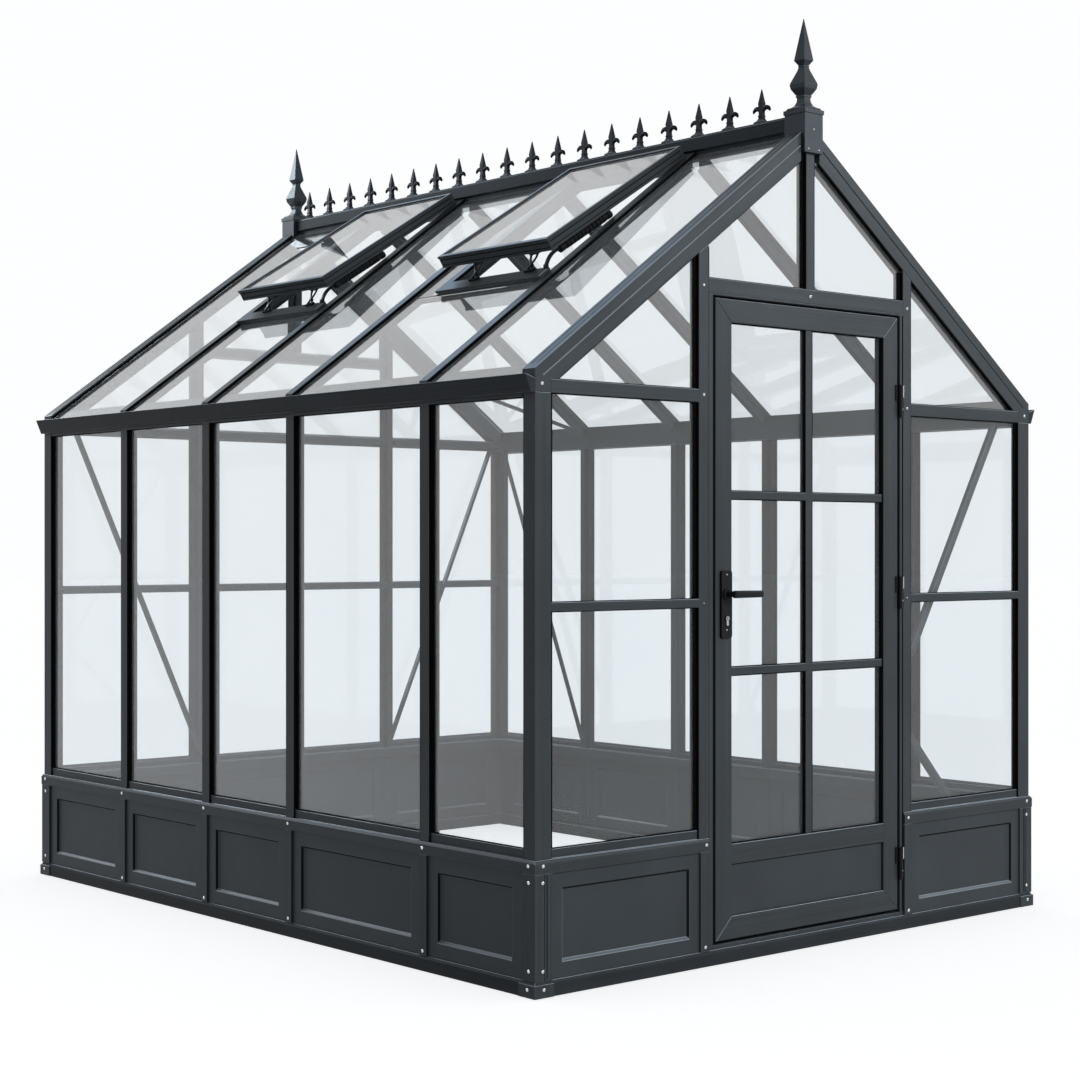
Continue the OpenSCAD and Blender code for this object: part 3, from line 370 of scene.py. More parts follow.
# %% Small finishes
# One black rubber serves the gaskets and the dark inlays that paint shade in grooves, gaps, the kick
# panel's edge and the keyway.
rubber_and_painted_shade = finish("seal_rubber_and_painted_shade", (0.0016, 0.0018, 0.002), 0.75, peel=0.1, peel_scale=500, level=0.03)
# Painted light for the ledges of sunk fields, and painted shade for their other bevels.
ledge_painted_light = finish("painted_light_on_ledges", (0.066, 0.078, 0.09), 0.45, level=0.1)
painted_shade_coat = finish("painted_shade_on_bevels", (0.0042, 0.005, 0.0058), 0.6, level=0.03)
steel = finish("screw_steel", (0.62, 0.62, 0.63), 0.28, cloud=0.05, metal=1.0, peel=0.03)
lock_steel = finish("lock_steel", (0.4, 0.4, 0.4), 0.36, cloud=0.1, metal=1.0, peel=0.03)
print([made.name for made in (rubber_and_painted_shade, ledge_painted_light, painted_shade_coat, steel, lock_steel)])

# %% [markdown]
# ## Glass
# Horticultural glass outdoors is never quite clear: it has a cool cast, and a thin
# film of dust and dew that catches the daylight, so that what stands behind it looks
# paler. Each pane is a real slab, so the shader is glass with a small share of matt
# white mixed in. The film also mirrors the pale sky, more under the roof, where dew
# gathers, than low down, and a higher refractive index gives that shine.

# %% Glass finish
glass = bpy.data.materials.new("clear_glass")
glass.use_nodes = True
pane_shader = glass.node_tree.nodes["Principled BSDF"]
pane_shader.inputs["Roughness"].default_value = 0.0
pane_shader.inputs["IOR"].default_value = 1.34
pane_shader.inputs["Transmission Weight"].default_value = 0.965
haze = glass.node_tree.nodes.new("ShaderNodeTexNoise")
haze.inputs["Scale"].default_value = 2.0
cool = glass.node_tree.nodes.new("ShaderNodeValToRGB")
cool.color_ramp.elements[0].color = (0.9, 0.925, 0.94, 1)
cool.color_ramp.elements[1].color = (0.93, 0.952, 0.965, 1)
where = glass.node_tree.nodes.new("ShaderNodeTexCoord")
glass.node_tree.links.new(where.outputs["Object"], haze.inputs["Vector"])
glass.node_tree.links.new(haze.outputs["Fac"], cool.inputs["Fac"])
glass.node_tree.links.new(cool.outputs["Color"], pane_shader.inputs["Base Color"])


def like_glass(name, index, clear):
    """The same glass under a film that mirrors more of the pale sky."""
    other = glass.copy()
    other.name = name
    shader = other.node_tree.nodes["Principled BSDF"]
    shader.inputs["IOR"].default_value = index
    shader.inputs["Transmission Weight"].default_value = clear
    return other


side_glass = like_glass("side_glass", 1.45, 0.965)
roof_glass = like_glass("roof_glass", 1.5, 0.95)
dewy_glass = like_glass("dewy_glass", 1.8, 0.965)
print("clear, side, roof and dewy glass, in order of shine")

# %% [markdown]
# ## Dressing the solids
# Most solids already have the right shape, so they keep it. What they lack is the
# small radius that every extruded or pressed edge has, and which catches the light.
# Welding the loaded faces together first lets a bevel find those edges, and the bevel
# can hand its own narrow faces to a second material, the coat of the edges with its
# painted light and shade. The panes keep their sharp edges and cast no shadow, so that
# daylight reaches the inner bars.

# %% Which coat goes where
slot_of = {part["node"]: part["material_slot"] for part in frame["record"]["subparts"]}
slot_coat = {"frame": anthracite["level"], "panels": panel_coat, "cresting": cast_coat,
             "hardware": black_coat, "glass": glass}
upright = ["corner_covers", "panel_strips", "corner_posts", "side_posts", "rear_posts", "door_posts",
           "king_posts", "door_jambs", "door_frame"]
sloped = ["front_rafters", "rear_rafters", "left_roof_bars", "right_roof_bars", "vent_sashes", "vent_curbs"]
own_coat = {"gutters": gutter_coat_painted_shade, "base_rails": gutter_coat_painted_shade, "ridge_beam": ridge_coat_painted_shade,
            "left_wall_glass": side_glass, "right_wall_glass": side_glass,
            "left_roof_glass": roof_glass, "right_roof_glass": roof_glass, "vent_glass": roof_glass}
own_coat.update({name: anthracite["upright"] for name in upright})
own_coat.update({name: anthracite["sloped"] for name in sloped})
print({slot: list(slot_of.values()).count(slot) for slot in slot_coat}, "nodes in each slot")

# %% Finish and soft edges for each node
edge_radius = 0.0012


def soften(thing, radius, angle=35):
    """Round the edges of a piece; a second material, if it has one, goes on them."""
    weld = thing.modifiers.new("weld", "WELD")
    weld.merge_threshold = 0.00002
    edge = thing.modifiers.new("soft_edge", "BEVEL")
    edge.width = radius
    edge.segments = 1
    edge.limit_method = "ANGLE"
    edge.angle_limit = math.radians(angle)
    edge.use_clamp_overlap = True
    if len(thing.data.materials) > 1:
        edge.material = 1


for name, thing in nodes.items():
    thing.data.materials.clear()
    thing.data.materials.append(own_coat.get(name, slot_coat[slot_of[name]]))
    if slot_of[name] == "glass":
        thing.visible_shadow = False
        unlit.objects.link(thing)
    elif slot_of[name] != "hardware":
        if slot_of[name] != "cresting":
            thing.data.materials.append(edge_painted_lighting)
        soften(thing, edge_radius)
for link in unlit.collection_objects:
    link.light_linking.link_state = "EXCLUDE"

# %% [markdown]
# ## Faces with a coat of their own
# Two kinds of solid need more finishes. A dwarf wall panel has a sunk field, and the bevel
# around it gets painted shade but for its lower side, which gets a painted highlight. A
# gable's glass is one node from sill to ridge, and the panes under the roof gather dew. A
# test on each face picks them out.


# %% Coats for single faces
def give(thing, coat, wanted):
    """Hand one more coat to the faces of a piece that a test picks."""
    mesh = thing.data
    if coat.name not in mesh.materials:
        mesh.materials.append(coat)
    index = list(mesh.materials).index(coat)
    picked = [face for face in mesh.polygons if wanted(face)]
    for face in picked:
        face.material_index = index
    return len(picked)


def leaning(face):
    """Whether a face is square to none of the axes."""
    return max(abs(part) for part in face.normal) < 0.9


under_roof = 1.67
# Painted shade on bevels that face down or sideways, painted light on the ledges.
for name in ("side_base_panels", "gable_base_panels"):
    shaded = give(nodes[name], painted_shade_coat, lambda face: leaning(face) and face.normal.z < 0.3)
    ledges = give(nodes[name], ledge_painted_light, lambda face: leaning(face) and face.normal.z > 0.3)
    print(name, shaded, "faces in shade and", ledges, "ledges")
for name in ("front_wall_glass", "rear_wall_glass"):
    dewy = give(nodes[name], dewy_glass, lambda face: face.center.z > under_roof)
    print(name, dewy, "faces under the roof")

# %% [markdown]
# ## A few makers of shapes
# Seals, screws and rails repeat one idea each: a block between two corners, an outline
# pushed through a depth, or a profile turned about an axis. Three short helpers in
# bmesh make them, and one more turns the result into a piece that rides on a body.


# %% Makers of shapes
def add_prism(shape, outline, start, end, place):
    """An outline of (u, v) pushed from start to end; place(u, v, w) gives a point."""
    rings = [[shape.verts.new(place(u, v, w)) for u, v in outline] for w in (start, end)]
    count = len(outline)
    shape.faces.new(rings[0])
    shape.faces.new(rings[1][::-1])
    for i in range(count):
        j = (i + 1) % count
        shape.faces.new((rings[0][j], rings[0][i], rings[1][i], rings[1][j]))


def add_block(shape, low, high):
    """A block between two opposite corners."""
    outline = [(low[0], low[1]), (high[0], low[1]), (high[0], high[1]), (low[0], high[1])]
    add_prism(shape, outline, low[2], high[2], lambda u, v, w: Vector((u, v, w)))


def add_turned(shape, profile, centre, axis, steps=20):
    """A profile of (radius, height) turned about an axis through a centre."""
    turn = Vector((0, 0, 1)).rotation_difference(Vector(axis)).to_matrix()
    angles = [2 * math.pi * k / steps for k in range(steps)]
    rings = []
    for radius, height in profile:
        points = [(radius * math.cos(a), radius * math.sin(a), height) for a in angles]
        if radius == 0:
            points = [(0, 0, height)]
        rings.append([shape.verts.new(Vector(centre) + turn @ Vector(point)) for point in points])
    for low, high in zip(rings, rings[1:]):
        for k in range(steps):
            corners = ((low, k), (low, k + 1), (high, k + 1), (high, k))
            ring = [loop[i % len(loop)] for loop, i in corners]
            shape.faces.new(list(dict.fromkeys(ring)))


print("prisms, blocks and turned shapes")


# %% A maker of pieces
def make_piece(name, shape, coat, body="greenhouse", round_edge=0.0, smooth=False):
    """Turn a shape into an object with a coat, which rides on a body."""
    bmesh.ops.recalc_face_normals(shape, faces=shape.faces)
    mesh = bpy.data.meshes.new(name)
    shape.to_mesh(mesh)
    shape.free()
    mesh.materials.append(coat)
    piece = bpy.data.objects.new(name, mesh)
    bpy.context.scene.collection.objects.link(piece)
    if smooth:
        mesh.shade_smooth()
        mesh.set_sharp_from_angle(angle=math.radians(40))
    if round_edge:
        mesh.materials.append(edge_painted_lighting)
        soften(piece, round_edge)
    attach(piece, body)
    print(name, len(mesh.polygons), "faces")
    return piece


print("pieces ride on the greenhouse, the door or the lever")

# %% [markdown]
# ## Where the bars run
# Every seal and screw sits on a bar line. The lines and the slope of the roof repeat
# the sizes of the solid model, in metres. A height above the roof glass is measured
# square to it, so it is divided by the cosine of the slope before it is added.

# %% Lines of the frame
half_width = 1.12
half_length = 1.415
bar_lines = [-half_length, -0.92, -0.225, 0.275, 0.82, half_length]
trimmer_line = -0.375
sill_high = 0.376
eave_low = 1.645
roof_foot = 1.7
slope = roof_pitch
tie_low, tie_high = 1.656, 1.694
mid_low, mid_high = 1.0545, 1.0795
header_low, header_high = 1.981, 2.024
post_in, post_out = 0.446, 0.486
block_foot = 2.444
rafter_top = 0.018
corner_depth, corner_width = 0.05, 0.058
side_half, king_half, roof_bar_half = 0.021, 0.018, 0.018


def roof_height(x, above=0.0):
    """Height of the left roof glass at x, or of a line above it."""
    return roof_foot + (half_width + x) * math.tan(slope) + above / math.cos(slope)


print("ridge glass at", round(roof_height(-0.02), 3), "m")

# %% [markdown]
# ## Rubber seals
# Each pane is pressed on a black rubber gasket that shows as a dark line beside every
# bar. A strip 2.5 mm wide fills the corner between bar and glass, and beside the
# uprights a flat lip 13 mm wide lies on the pane; the lip is black rubber, and its width
# also paints the shade that falls in the reveal beside each upright. The black bands
# that they draw make the frame read as assembled, not as cast.

# %% Seals of the walls
# The lip is black rubber whose width also paints the shade in the reveal beside each upright.
seal, lip_and_reveal_shade = 0.0025, 0.013
lip_out = 0.0105
seal_out, seal_in = 0.002, 0.0143
bead_seal_out = 0.007
bead_low, bead_high = sill_high + 0.026, sill_high + 0.0285
bay_end = half_length - corner_depth
wall_seals = bmesh.new()


def pair(sign, a, b):
    """Two places mirrored by a sign, the lower one first."""
    return sorted((sign * a, sign * b))


def beside(line, way, half, wide):
    """The two edges of a strip that lies beside a bar, the lower one first."""
    return sorted((line + way * half, line + way * (half + wide)))


def long_wall_seal(side, y0, y1, z0, z1, out=seal_out):
    """A strip in a long wall, from out to seal_in behind its face."""
    xs = pair(side, half_width - out, half_width - seal_in)
    add_block(wall_seals, (xs[0], y0, z0), (xs[1], y1, z1))


def gable_seal(end, x0, x1, z0, z1, out=seal_out):
    """A strip in a gable, from out to seal_in behind its face."""
    ys = pair(end, half_length - out, half_length - seal_in)
    add_block(wall_seals, (x0, ys[0], z0), (x1, ys[1], z1))


for side in (-1, 1):
    for i, line in enumerate(bar_lines):
        face = side_half if 0 < i < 5 else corner_depth
        for way in (-1, 1):
            if abs(line + way * face) < half_length:
                for wide, out in ((seal, seal_out), (lip_and_reveal_shade, lip_out)):
                    long_wall_seal(side, *beside(line, way, face, wide), sill_high, eave_low, out)
    long_wall_seal(side, -bay_end, bay_end, eave_low - seal, eave_low)
    long_wall_seal(side, -bay_end, bay_end, bead_low, bead_high, bead_seal_out)
print(len(wall_seals.verts) // 8, "strips on the long walls")

# %% Seals of the gables
outer_top, inner_top = roof_height(-post_out, -0.062), roof_height(-post_in, -0.06)
king_top = block_foot - 0.004
corner = half_width - corner_width
for end in (-1, 1):
    for side in (-1, 1):
        bay = pair(side, corner, post_out)
        for wide, out in ((seal, seal_out), (lip_and_reveal_shade, lip_out)):
            gable_seal(end, *pair(side, corner, corner - wide), sill_high, tie_low, out)
            gable_seal(end, *pair(side, post_out, post_out + wide), sill_high, outer_top, out)
            gable_seal(end, *pair(side, post_in, post_in - wide), header_high, inner_top, out)
            gable_seal(end, *pair(side, king_half, king_half + wide), header_high, king_top, out)
        for low, high in ((mid_low, mid_high), (tie_low, tie_high)):
            gable_seal(end, *bay, low - seal, low)
            gable_seal(end, *bay, high, high + seal)
        gable_seal(end, *bay, bead_low, bead_high, bead_seal_out)
    gable_seal(end, -post_in, post_in, header_high, header_high + seal)
for low, high in ((mid_low, mid_high), (tie_low, tie_high), (header_low, header_high)):
    gable_seal(1, -post_in, post_in, low - seal, low)
    gable_seal(1, -post_in, post_in, high, high + seal)
for side in (-1, 1):
    gable_seal(1, *pair(side, post_in, post_in - seal), sill_high, header_low)
make_piece("wall_seals", wall_seals, rubber_and_painted_shade)

# %% [markdown]
# The roof panes lie on the same gasket. Its strips run up the slope on both sides of
# each bar, so they are drawn flat, as x and a height above the glass, and then tilted.

# %% Seals of the roof
roof_seals = bmesh.new()
strip_low, strip_high = 0.0042, 0.0125
gable_low, gable_high = -0.0565, -0.0541
bar_run, trimmer_run = (-1.122, -0.021), (-0.63, -0.021)
rafter_run, gable_run = (-1.118, -0.046), (-1.06, -0.043)
rafter_line = half_length - 0.055


def roof_strip(shape, side, x0, x1, n0, n1, y0, y1):
    """A strip on a slope: side -1 is the left one. x runs as on the left slope."""
    outline = [(x0, n0), (x1, n0), (x1, n1), (x0, n1)]
    add_prism(shape, outline, y0, y1, lambda x, n, y: Vector((-side * x, y, roof_height(x, n))))


for side in (-1, 1):
    for line in bar_lines[1:5]:
        for way in (-1, 1):
            edge = beside(line, way, roof_bar_half, seal)
            roof_strip(roof_seals, side, *bar_run, strip_low, strip_high, *edge)
    for end in (-1, 1):
        edge = pair(end, rafter_line, rafter_line - seal)
        roof_strip(roof_seals, side, *rafter_run, strip_low, strip_high, *edge)
        depth = pair(end, half_length - seal_out, half_length - seal_in)
        roof_strip(roof_seals, side, *gable_run, gable_low, gable_high, *depth)
for way in (-1, 1):
    edge = beside(trimmer_line, way, roof_bar_half, seal)
    roof_strip(roof_seals, -1, *trimmer_run, strip_low, strip_high, *edge)
make_piece("roof_seals", roof_seals, rubber_and_painted_shade)

# %% [markdown]
# ## Screws
# Domed stainless screws hold the posts to the sills and the covers to the base. They
# are turned shapes 11 mm across with a round socket. One profile serves them all, and
# a list of places puts them on the walls, so one object carries every screw.

# %% A screw
screw_profile = [(0, 0.0006), (0.0017, 0.0006), (0.0019, 0.0024), (0.003, 0.0022), (0.0043, 0.0015),
                 (0.005, 0.0007), (0.0053, 0.0), (0.0053, -0.001), (0, -0.001)]
screws = bmesh.new()


def screw_of(width, rise):
    """The profile of a screw at a share of its width and of its height."""
    return [(radius * width, height * rise) for radius, height in screw_profile]


def wall_screw(x, y, z, way, size=1.0):
    """A screw at a place, with its head pointing a way."""
    add_turned(screws, screw_of(size, size), (x, y, z), way, 16)


print("a screw is", round(2000 * max(radius for radius, height in screw_profile), 1), "mm across")

# %% Places of the screws
rail_face, cover_face, strip_face, block_face = 0.008, 0.0113, 0.0063, 0.014
sill_screw, foot_screw, post_line = 0.358, 0.058, 0.466
corner_screws = ((0.36, rail_face), (0.314, strip_face), (0.072, strip_face), (0.023, cover_face))
post_screws = ((1.067, 0.4), (1.679, 0.85), (2.001, 0.85))
block_screws = ((0, 2.517), (-0.024, 2.455), (0.024, 2.455))
corner_screw, header_screw, sill_line = 1.68, 2.003, 0.463
wall_inset, gable_inset, top_inset = 0.021, 0.022, 0.025
for side in (-1, 1):
    for line in bar_lines[1:5]:
        wall_screw(side * (half_width + rail_face), line, sill_screw, (side, 0, 0))
        wall_screw(side * (half_width + strip_face), line, foot_screw, (side, 0, 0))
    for end in (-1, 1):
        for z, face in corner_screws:
            wall_screw(side * (half_width + face), end * (half_length - wall_inset), z, (side, 0, 0))
            wall_screw(side * (half_width - gable_inset), end * (half_length + face), z, (0, end, 0))
        wall_screw(side * (half_width - top_inset), end * half_length, corner_screw, (0, end, 0))
        wall_screw(side * sill_line, end * (half_length + rail_face), sill_screw, (0, end, 0))
        wall_screw(side * post_line, end * (half_length + strip_face), foot_screw, (0, end, 0))
        for z, size in post_screws:
            wall_screw(side * post_line, end * half_length, z, (0, end, 0), size)
for end in (-1, 1):
    wall_screw(0, end * half_length, header_screw, (0, end, 0))
    for x, z in block_screws:
        wall_screw(x, end * (half_length + block_face), z, (0, end, 0), 0.5)
make_piece("wall_screws", screws, steel, smooth=True)

# %% [markdown]
# ## The vent stays
# Under each open sash two casement stays hold it up: a foot on the sill, a head under
# the sash, and two curved legs that cross low down at a pivot. Flat bars have no life
# in them, so each leg is a loft that is swept along a bowed path.


# %% Lofts
def smooth_path(points, steps=4):
    """Extra points between the given ones, on a curve that passes through them all."""
    path = []
    for i in range(len(points) - 1):
        p0, p1, p2, p3 = (Vector(points[min(max(i + k, 0), len(points) - 1)]) for k in (-1, 0, 1, 2))
        for k in range(steps):
            t = k / steps
            path.append(0.5 * (2 * p1 + (p2 - p0) * t + (2 * p0 - 5 * p1 + 4 * p2 - p3) * t ** 2
                               + (3 * p1 - p0 - 3 * p2 + p3) * t ** 3))
    return path + [Vector(points[-1])]


def add_loft(shape, rings):
    """A closed skin over rings of points that all have the same count."""
    loops = [[shape.verts.new(point) for point in ring] for ring in rings]
    count = len(loops[0])
    for low, high in zip(loops, loops[1:]):
        for k in range(count):
            shape.faces.new((low[k], low[(k + 1) % count], high[(k + 1) % count], high[k]))
    shape.faces.new(loops[0][::-1])
    shape.faces.new(loops[-1])


def oval(centre, thick, one, other, count=10):
    """Points of an oval about a centre, through the ends of two half axes."""
    turns = [2 * math.pi * k / count for k in range(count)]
    return [centre + thick * (math.cos(turn) * one + math.sin(turn) * other) for turn in turns]


print("a path of 3 points becomes", len(smooth_path([(0, 0, 0), (1, 1, 0), (2, 0, 0)])), "points")

# %% [markdown]
# The sash is held open at a slope 4.2 degrees flatter than the roof, so a point near it
# is given along its slope, square to it and along the house. The legs are oval in
# section, thickest at the foot, and cross at a turned pivot. Both ends have a plate.

# %% Bowed stays
sash_slope = slope - math.radians(4.2)
sash_hinge = Vector((-0.05, 0, 2.5016))
stay_foot, stay_head = Vector((-0.6317, 0, 2.0889)), Vector((-0.6091, 0, 2.1452))
vent_starts = (-0.92, 0.275)
sash_width = 0.545
leg_path = [(-0.009, 0.02, 0.0062), (-0.006, 0.16, 0.0052), (0.0, 0.3, 0.005), (0.0095, 0.5, 0.0046),
            (0.0165, 0.74, 0.0046), (0.0165, 0.98, 0.0056)]
stay_shares, pivot_share, leg_gap = (0.18, 0.68), 0.3, 0.0022
plate_reach, plate_wide, plate_thick = 0.008, 0.021, 0.003
pivot = [(0, -0.0062), (0.0052, -0.0062), (0.0066, -0.005), (0.0066, 0.005), (0.0052, 0.0062), (0, 0.0062)]
stays = bmesh.new()


def on_slope(centre, angle, along, up, y):
    """A point at a slope's angle: so far along it, up from it, and along the house."""
    run, rise = math.cos(angle), math.sin(angle)
    return centre + Vector((along * run - up * rise, y, along * rise + up * run))


def bowed_leg(y, side):
    """One leg of a stay, bowed to a side, as a loft along its path."""
    rise = stay_head - stay_foot
    square = Vector((0, 1, 0)).cross(rise).normalized()
    path = smooth_path([(side * out, share, thick) for out, share, thick in leg_path], 3)
    rings = []
    for i, (out, share, thick) in enumerate(path):
        before, after = path[max(i - 1, 0)], path[min(i + 1, len(path) - 1)]
        along = (Vector((0, after.x - before.x, 0)) + rise * (after.y - before.y)).normalized()
        centre = stay_foot + rise * share + Vector((0, y + out, 0)) + square * leg_gap * side
        rings.append(oval(centre, thick, 0.6 * square, along.cross(square)))
    add_loft(stays, rings)
    return rise, square


for start in vent_starts:
    for share in stay_shares:
        y = start + share * sash_width
        plate = [(-plate_reach, y - plate_wide), (plate_reach, y - plate_wide),
                 (plate_reach, y + plate_wide), (-plate_reach, y + plate_wide)]
        for centre, angle in ((stay_foot, slope), (stay_head, sash_slope)):
            add_prism(stays, plate, -plate_thick, plate_thick,
                      lambda u, v, w, c=centre, a=angle: on_slope(c, a, u, w, v))
        for side in (-1, 1):
            rise, square = bowed_leg(y, side)
        add_turned(stays, pivot, stay_foot + rise * pivot_share + Vector((0, y, 0)), square, 16)
bowed_stays = make_piece("bowed_stays", stays, black_coat, smooth=True)
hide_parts("vent_stays")

# %% [markdown]
# ## Grooves
# The profiles of the sashes and rafters have shallow grooves from the die. A groove is
# darker than its face at any distance, because shade falls in it, so a dark inlay a few
# tenths of a millimetre proud stands for each: painted shade. They break up the broad
# faces as the real profile does. The same inlays draw the groove of each corner cover
# and the gaps round the door leaf.

# %% Painted shade in the grooves of the vents
groove_shade = bmesh.new()
sash_grooves = ((0.004, 0.0065), (0.0215, 0.0245))
sash_sides, sash_run = (0.0025, 0.5425), (-0.675, -0.012)
sash_foot, half_groove = -0.676, 0.0003


def sash_groove_shade(x0, x1, low, high, y0, y1):
    """Painted shade for a groove on an open sash, as a dark block that is tilted with it."""
    add_prism(groove_shade, [(x0, low), (x1, low), (x1, high), (x0, high)], y0, y1,
              lambda u, v, w: on_slope(sash_hinge, sash_slope, u, v, w))


for start in vent_starts:
    for low, high in sash_grooves:
        for across in sash_sides:
            y = start + across
            sash_groove_shade(*sash_run, low, high, y - half_groove, y + half_groove)
        face = (sash_foot - half_groove, sash_foot + half_groove)
        sash_groove_shade(*face, low, high, start + 0.004, start + 0.541)
print(len(groove_shade.verts) // 8, "grooves on the sashes")

# %% Painted shade in the grooves of the rafters, corners and door frame
rafter_grooves, cover_groove, groove_wide, proud = (0.016, 0.037), 0.036, 0.0025, 0.0004
cover_back, cover_front = half_length + 0.0058, half_length + 0.0067
frame_grooves = ((-0.4275, -0.421, 0.06, 1.975), (0.44, 0.445, 0.06, 1.975), (-0.42, 0.42, 1.9715, 1.9755))
for end in (-1, 1):
    for side in (-1, 1):
        for inset in rafter_grooves:
            edge = pair(end, half_length - inset, half_length - inset - groove_wide)
            roof_strip(groove_shade, side, -1.1, -0.045, rafter_top - proud, rafter_top + proud, *edge)
        gap = pair(side, half_width - cover_groove, half_width - cover_groove - groove_wide)
        depth = pair(end, cover_back, cover_front)
        add_block(groove_shade, (gap[0], depth[0], 0.052), (gap[1], depth[1], 0.336))
for x0, x1, z0, z1 in frame_grooves:
    add_block(groove_shade, (x0, -half_length - proud, z0), (x1, -half_length + proud, z1))
make_piece("painted_groove_shade", groove_shade, rubber_and_painted_shade)

# %% [markdown]
# ## The legs of the braces
# The wind braces are light angles, not flat strips. The solid has the leg that lies on
# the posts; the other one, which points into the house, is added here along its edge.

# %% Brace legs
leg_outline = [(0.009, 0), (0.012, 0), (0.012, 0.014), (0.009, 0.014)]
legs = bmesh.new()


def brace_leg(a, b, inwards):
    """The leg of an angle that runs from a to b and points inwards."""
    a, b, inwards = Vector(a), Vector(b), Vector(inwards)
    across = (b - a).normalized().cross(inwards)
    if across.x + across.y > 0:
        across = -across
    add_prism(legs, leg_outline, 0, 1, lambda u, v, w: a.lerp(b, w) + across * u + inwards * v)


brace_depth = 0.0543
gable_face, wall_face = half_length - brace_depth, half_width - brace_depth
brace_top, brace_foot = 1.675, 0.416
brace_leg((1.02, -gable_face, brace_top), (post_line, -gable_face, 0.737), (0, 1, 0))
brace_leg((post_line, -gable_face, 0.697), (0.75, -gable_face, 0.396), (0, 1, 0))
for side in (-1, 1):
    brace_leg((side * 1.02, gable_face, brace_top), (side * post_line, gable_face, brace_foot), (0, -1, 0))
brace_leg((wall_face, 1.34, 1.665), (wall_face, 0.82, brace_foot), (-1, 0, 0))
make_piece("brace_legs", legs, anthracite["upright"])

# %% [markdown]
# ## The door leaf
# A door leaf is four lengths of one profile, cut to 45 degrees and crimped together,
# with a rail over the kick panel. The solid is a single ring, so it is replaced by five
# real lengths: the tiny gaps and softened edges draw the mitre lines by themselves.

# %% Stiles and rails of the door
leaf_half, leaf_low, leaf_high = 0.417, 0.067, 1.967
stile, leaf_thick, play, rail_reach = 0.068, 0.04, 0.00025, 0.3
kick_low, kick_high = 0.135, 0.289
pane_low, pane_high = 0.349, 1.899
inner = leaf_half - stile
door_face = -half_length
door_back = door_face + leaf_thick
leaf = bmesh.new()


def leaf_length(outline):
    """One length of the leaf, from its outline as x and z."""
    add_prism(leaf, outline, door_face, door_back, lambda u, v, w: Vector((u, w, v)))


for side in (-1, 1):
    leaf_length([(side * leaf_half, leaf_low + play), (side * inner, kick_low + play),
                 (side * inner, pane_high - play), (side * leaf_half, leaf_high - play)])
for outer_z, inner_z in ((leaf_low, kick_low), (leaf_high, pane_high)):
    leaf_length([(play - leaf_half, outer_z), (leaf_half - play, outer_z),
                 (inner - play, inner_z), (play - inner, inner_z)])
add_block(leaf, (play - inner, door_face, kick_high), (inner - play, door_back, pane_low))
door_leaf = make_piece("door_leaf", leaf, anthracite["upright"], "door", edge_radius)
give(door_leaf, anthracite["level"], lambda face: abs(face.center.x) < rail_reach)
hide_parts("door_frame")

# %% [markdown]
# The door's panes sit between narrow glazing bars, with a gasket along every edge. The
# levels of those edges follow from the height of the leaf and of a bar, so they are
# worked out rather than listed. The kick panel has a thin line of painted shade along its
# top and sides.

# %% Seals of the door
bar_half, bar_high, bar_seal_out = 0.0145, 0.024, 0.0065
kick_shade_depth, kick_shade_wide = (0.0072, 0.0085), 0.003
door_seals_and_shade = bmesh.new()


def door_seal_or_shade(x0, x1, z0, z1, out=0.004, deep=0.0182):
    """A strip of gasket in the door, or of painted shade by the kick panel, between two depths behind its
    face.
    """
    add_block(door_seals_and_shade, (x0, door_face + out, z0), (x1, door_face + deep, z1))


for side in (-1, 1):
    door_seal_or_shade(*pair(side, inner, inner - seal), pane_low, pane_high)
    door_seal_or_shade(*pair(side, bar_half, bar_half + seal), pane_low, pane_high, bar_seal_out)
pane = (pane_high - pane_low - 2 * bar_high) / 3
edges = [pane_low]
for k in (1, 2):
    foot = pane_low + k * pane + (k - 1) * bar_high
    edges += [foot, foot + bar_high]
edges.append(pane_high)
for k, z in enumerate(edges):
    door_seal_or_shade(-inner, inner, *sorted((z, z + (seal if k % 2 == 0 else -seal))), bar_seal_out)
# Painted shade: dark strips along the top and the sides of the kick panel.
door_seal_or_shade(-inner, inner, kick_high - kick_shade_wide, kick_high, *kick_shade_depth)
for side in (-1, 1):
    door_seal_or_shade(*pair(side, inner, inner - seal), kick_low, kick_high, *kick_shade_depth)
print("a pane of the door is", round(1000 * pane), "mm high")
make_piece("door_seals_and_shade", door_seals_and_shade, rubber_and_painted_shade, body="door")

# %% [markdown]
# ## The lock and the lever
# A round rose carries the lever. Below it sits the steel end of a lock cylinder, which
# has a round plug above a narrow tail, and a small screw holds the plate at each end.
# Such bright parts tell the eye how big the door is, so they get their true shapes.

# %% Roses
lever_x, lever_z, plate_proud = -0.378, 1.092, 0.0083
plates = ((door_face - plate_proud, -1), (door_back + plate_proud, 1))
rose_profile = [(0.0095, 0.0), (0.0175, 0.0), (0.0175, 0.004), (0.0155, 0.0062), (0.0095, 0.0062)]
rose = bmesh.new()
for face, way in plates:
    add_turned(rose, rose_profile, (lever_x, face, lever_z), (0, way, 0), 32)
make_piece("lever_roses", rose, black_coat, "door", smooth=True)

# %% Lock cylinder
lock_z, lock_radius = lever_z - 0.072, 0.0072
plate_screws = (lever_z + 0.058, lock_z - 0.034)
key_half_wide, key_half_high = 0.0009, 0.0036
lock_back, lock_front, key_back, key_front = -0.001, 0.0032, 0.003, 0.0042
turns = [math.radians(degrees) for degrees in range(-144, 145, 16)]
lock_outline = [(lock_radius * math.sin(turn), lock_radius * math.cos(turn)) for turn in turns]
lock_outline += [(0.004, -0.0195), (0.0025, -0.021), (-0.0025, -0.021), (-0.004, -0.0195)]
plug = [(0, 0.0035), (0.0036, 0.0035), (0.005, 0.0048), (0.0057, 0.0042), (0.0057, 0.003), (0, 0.003)]
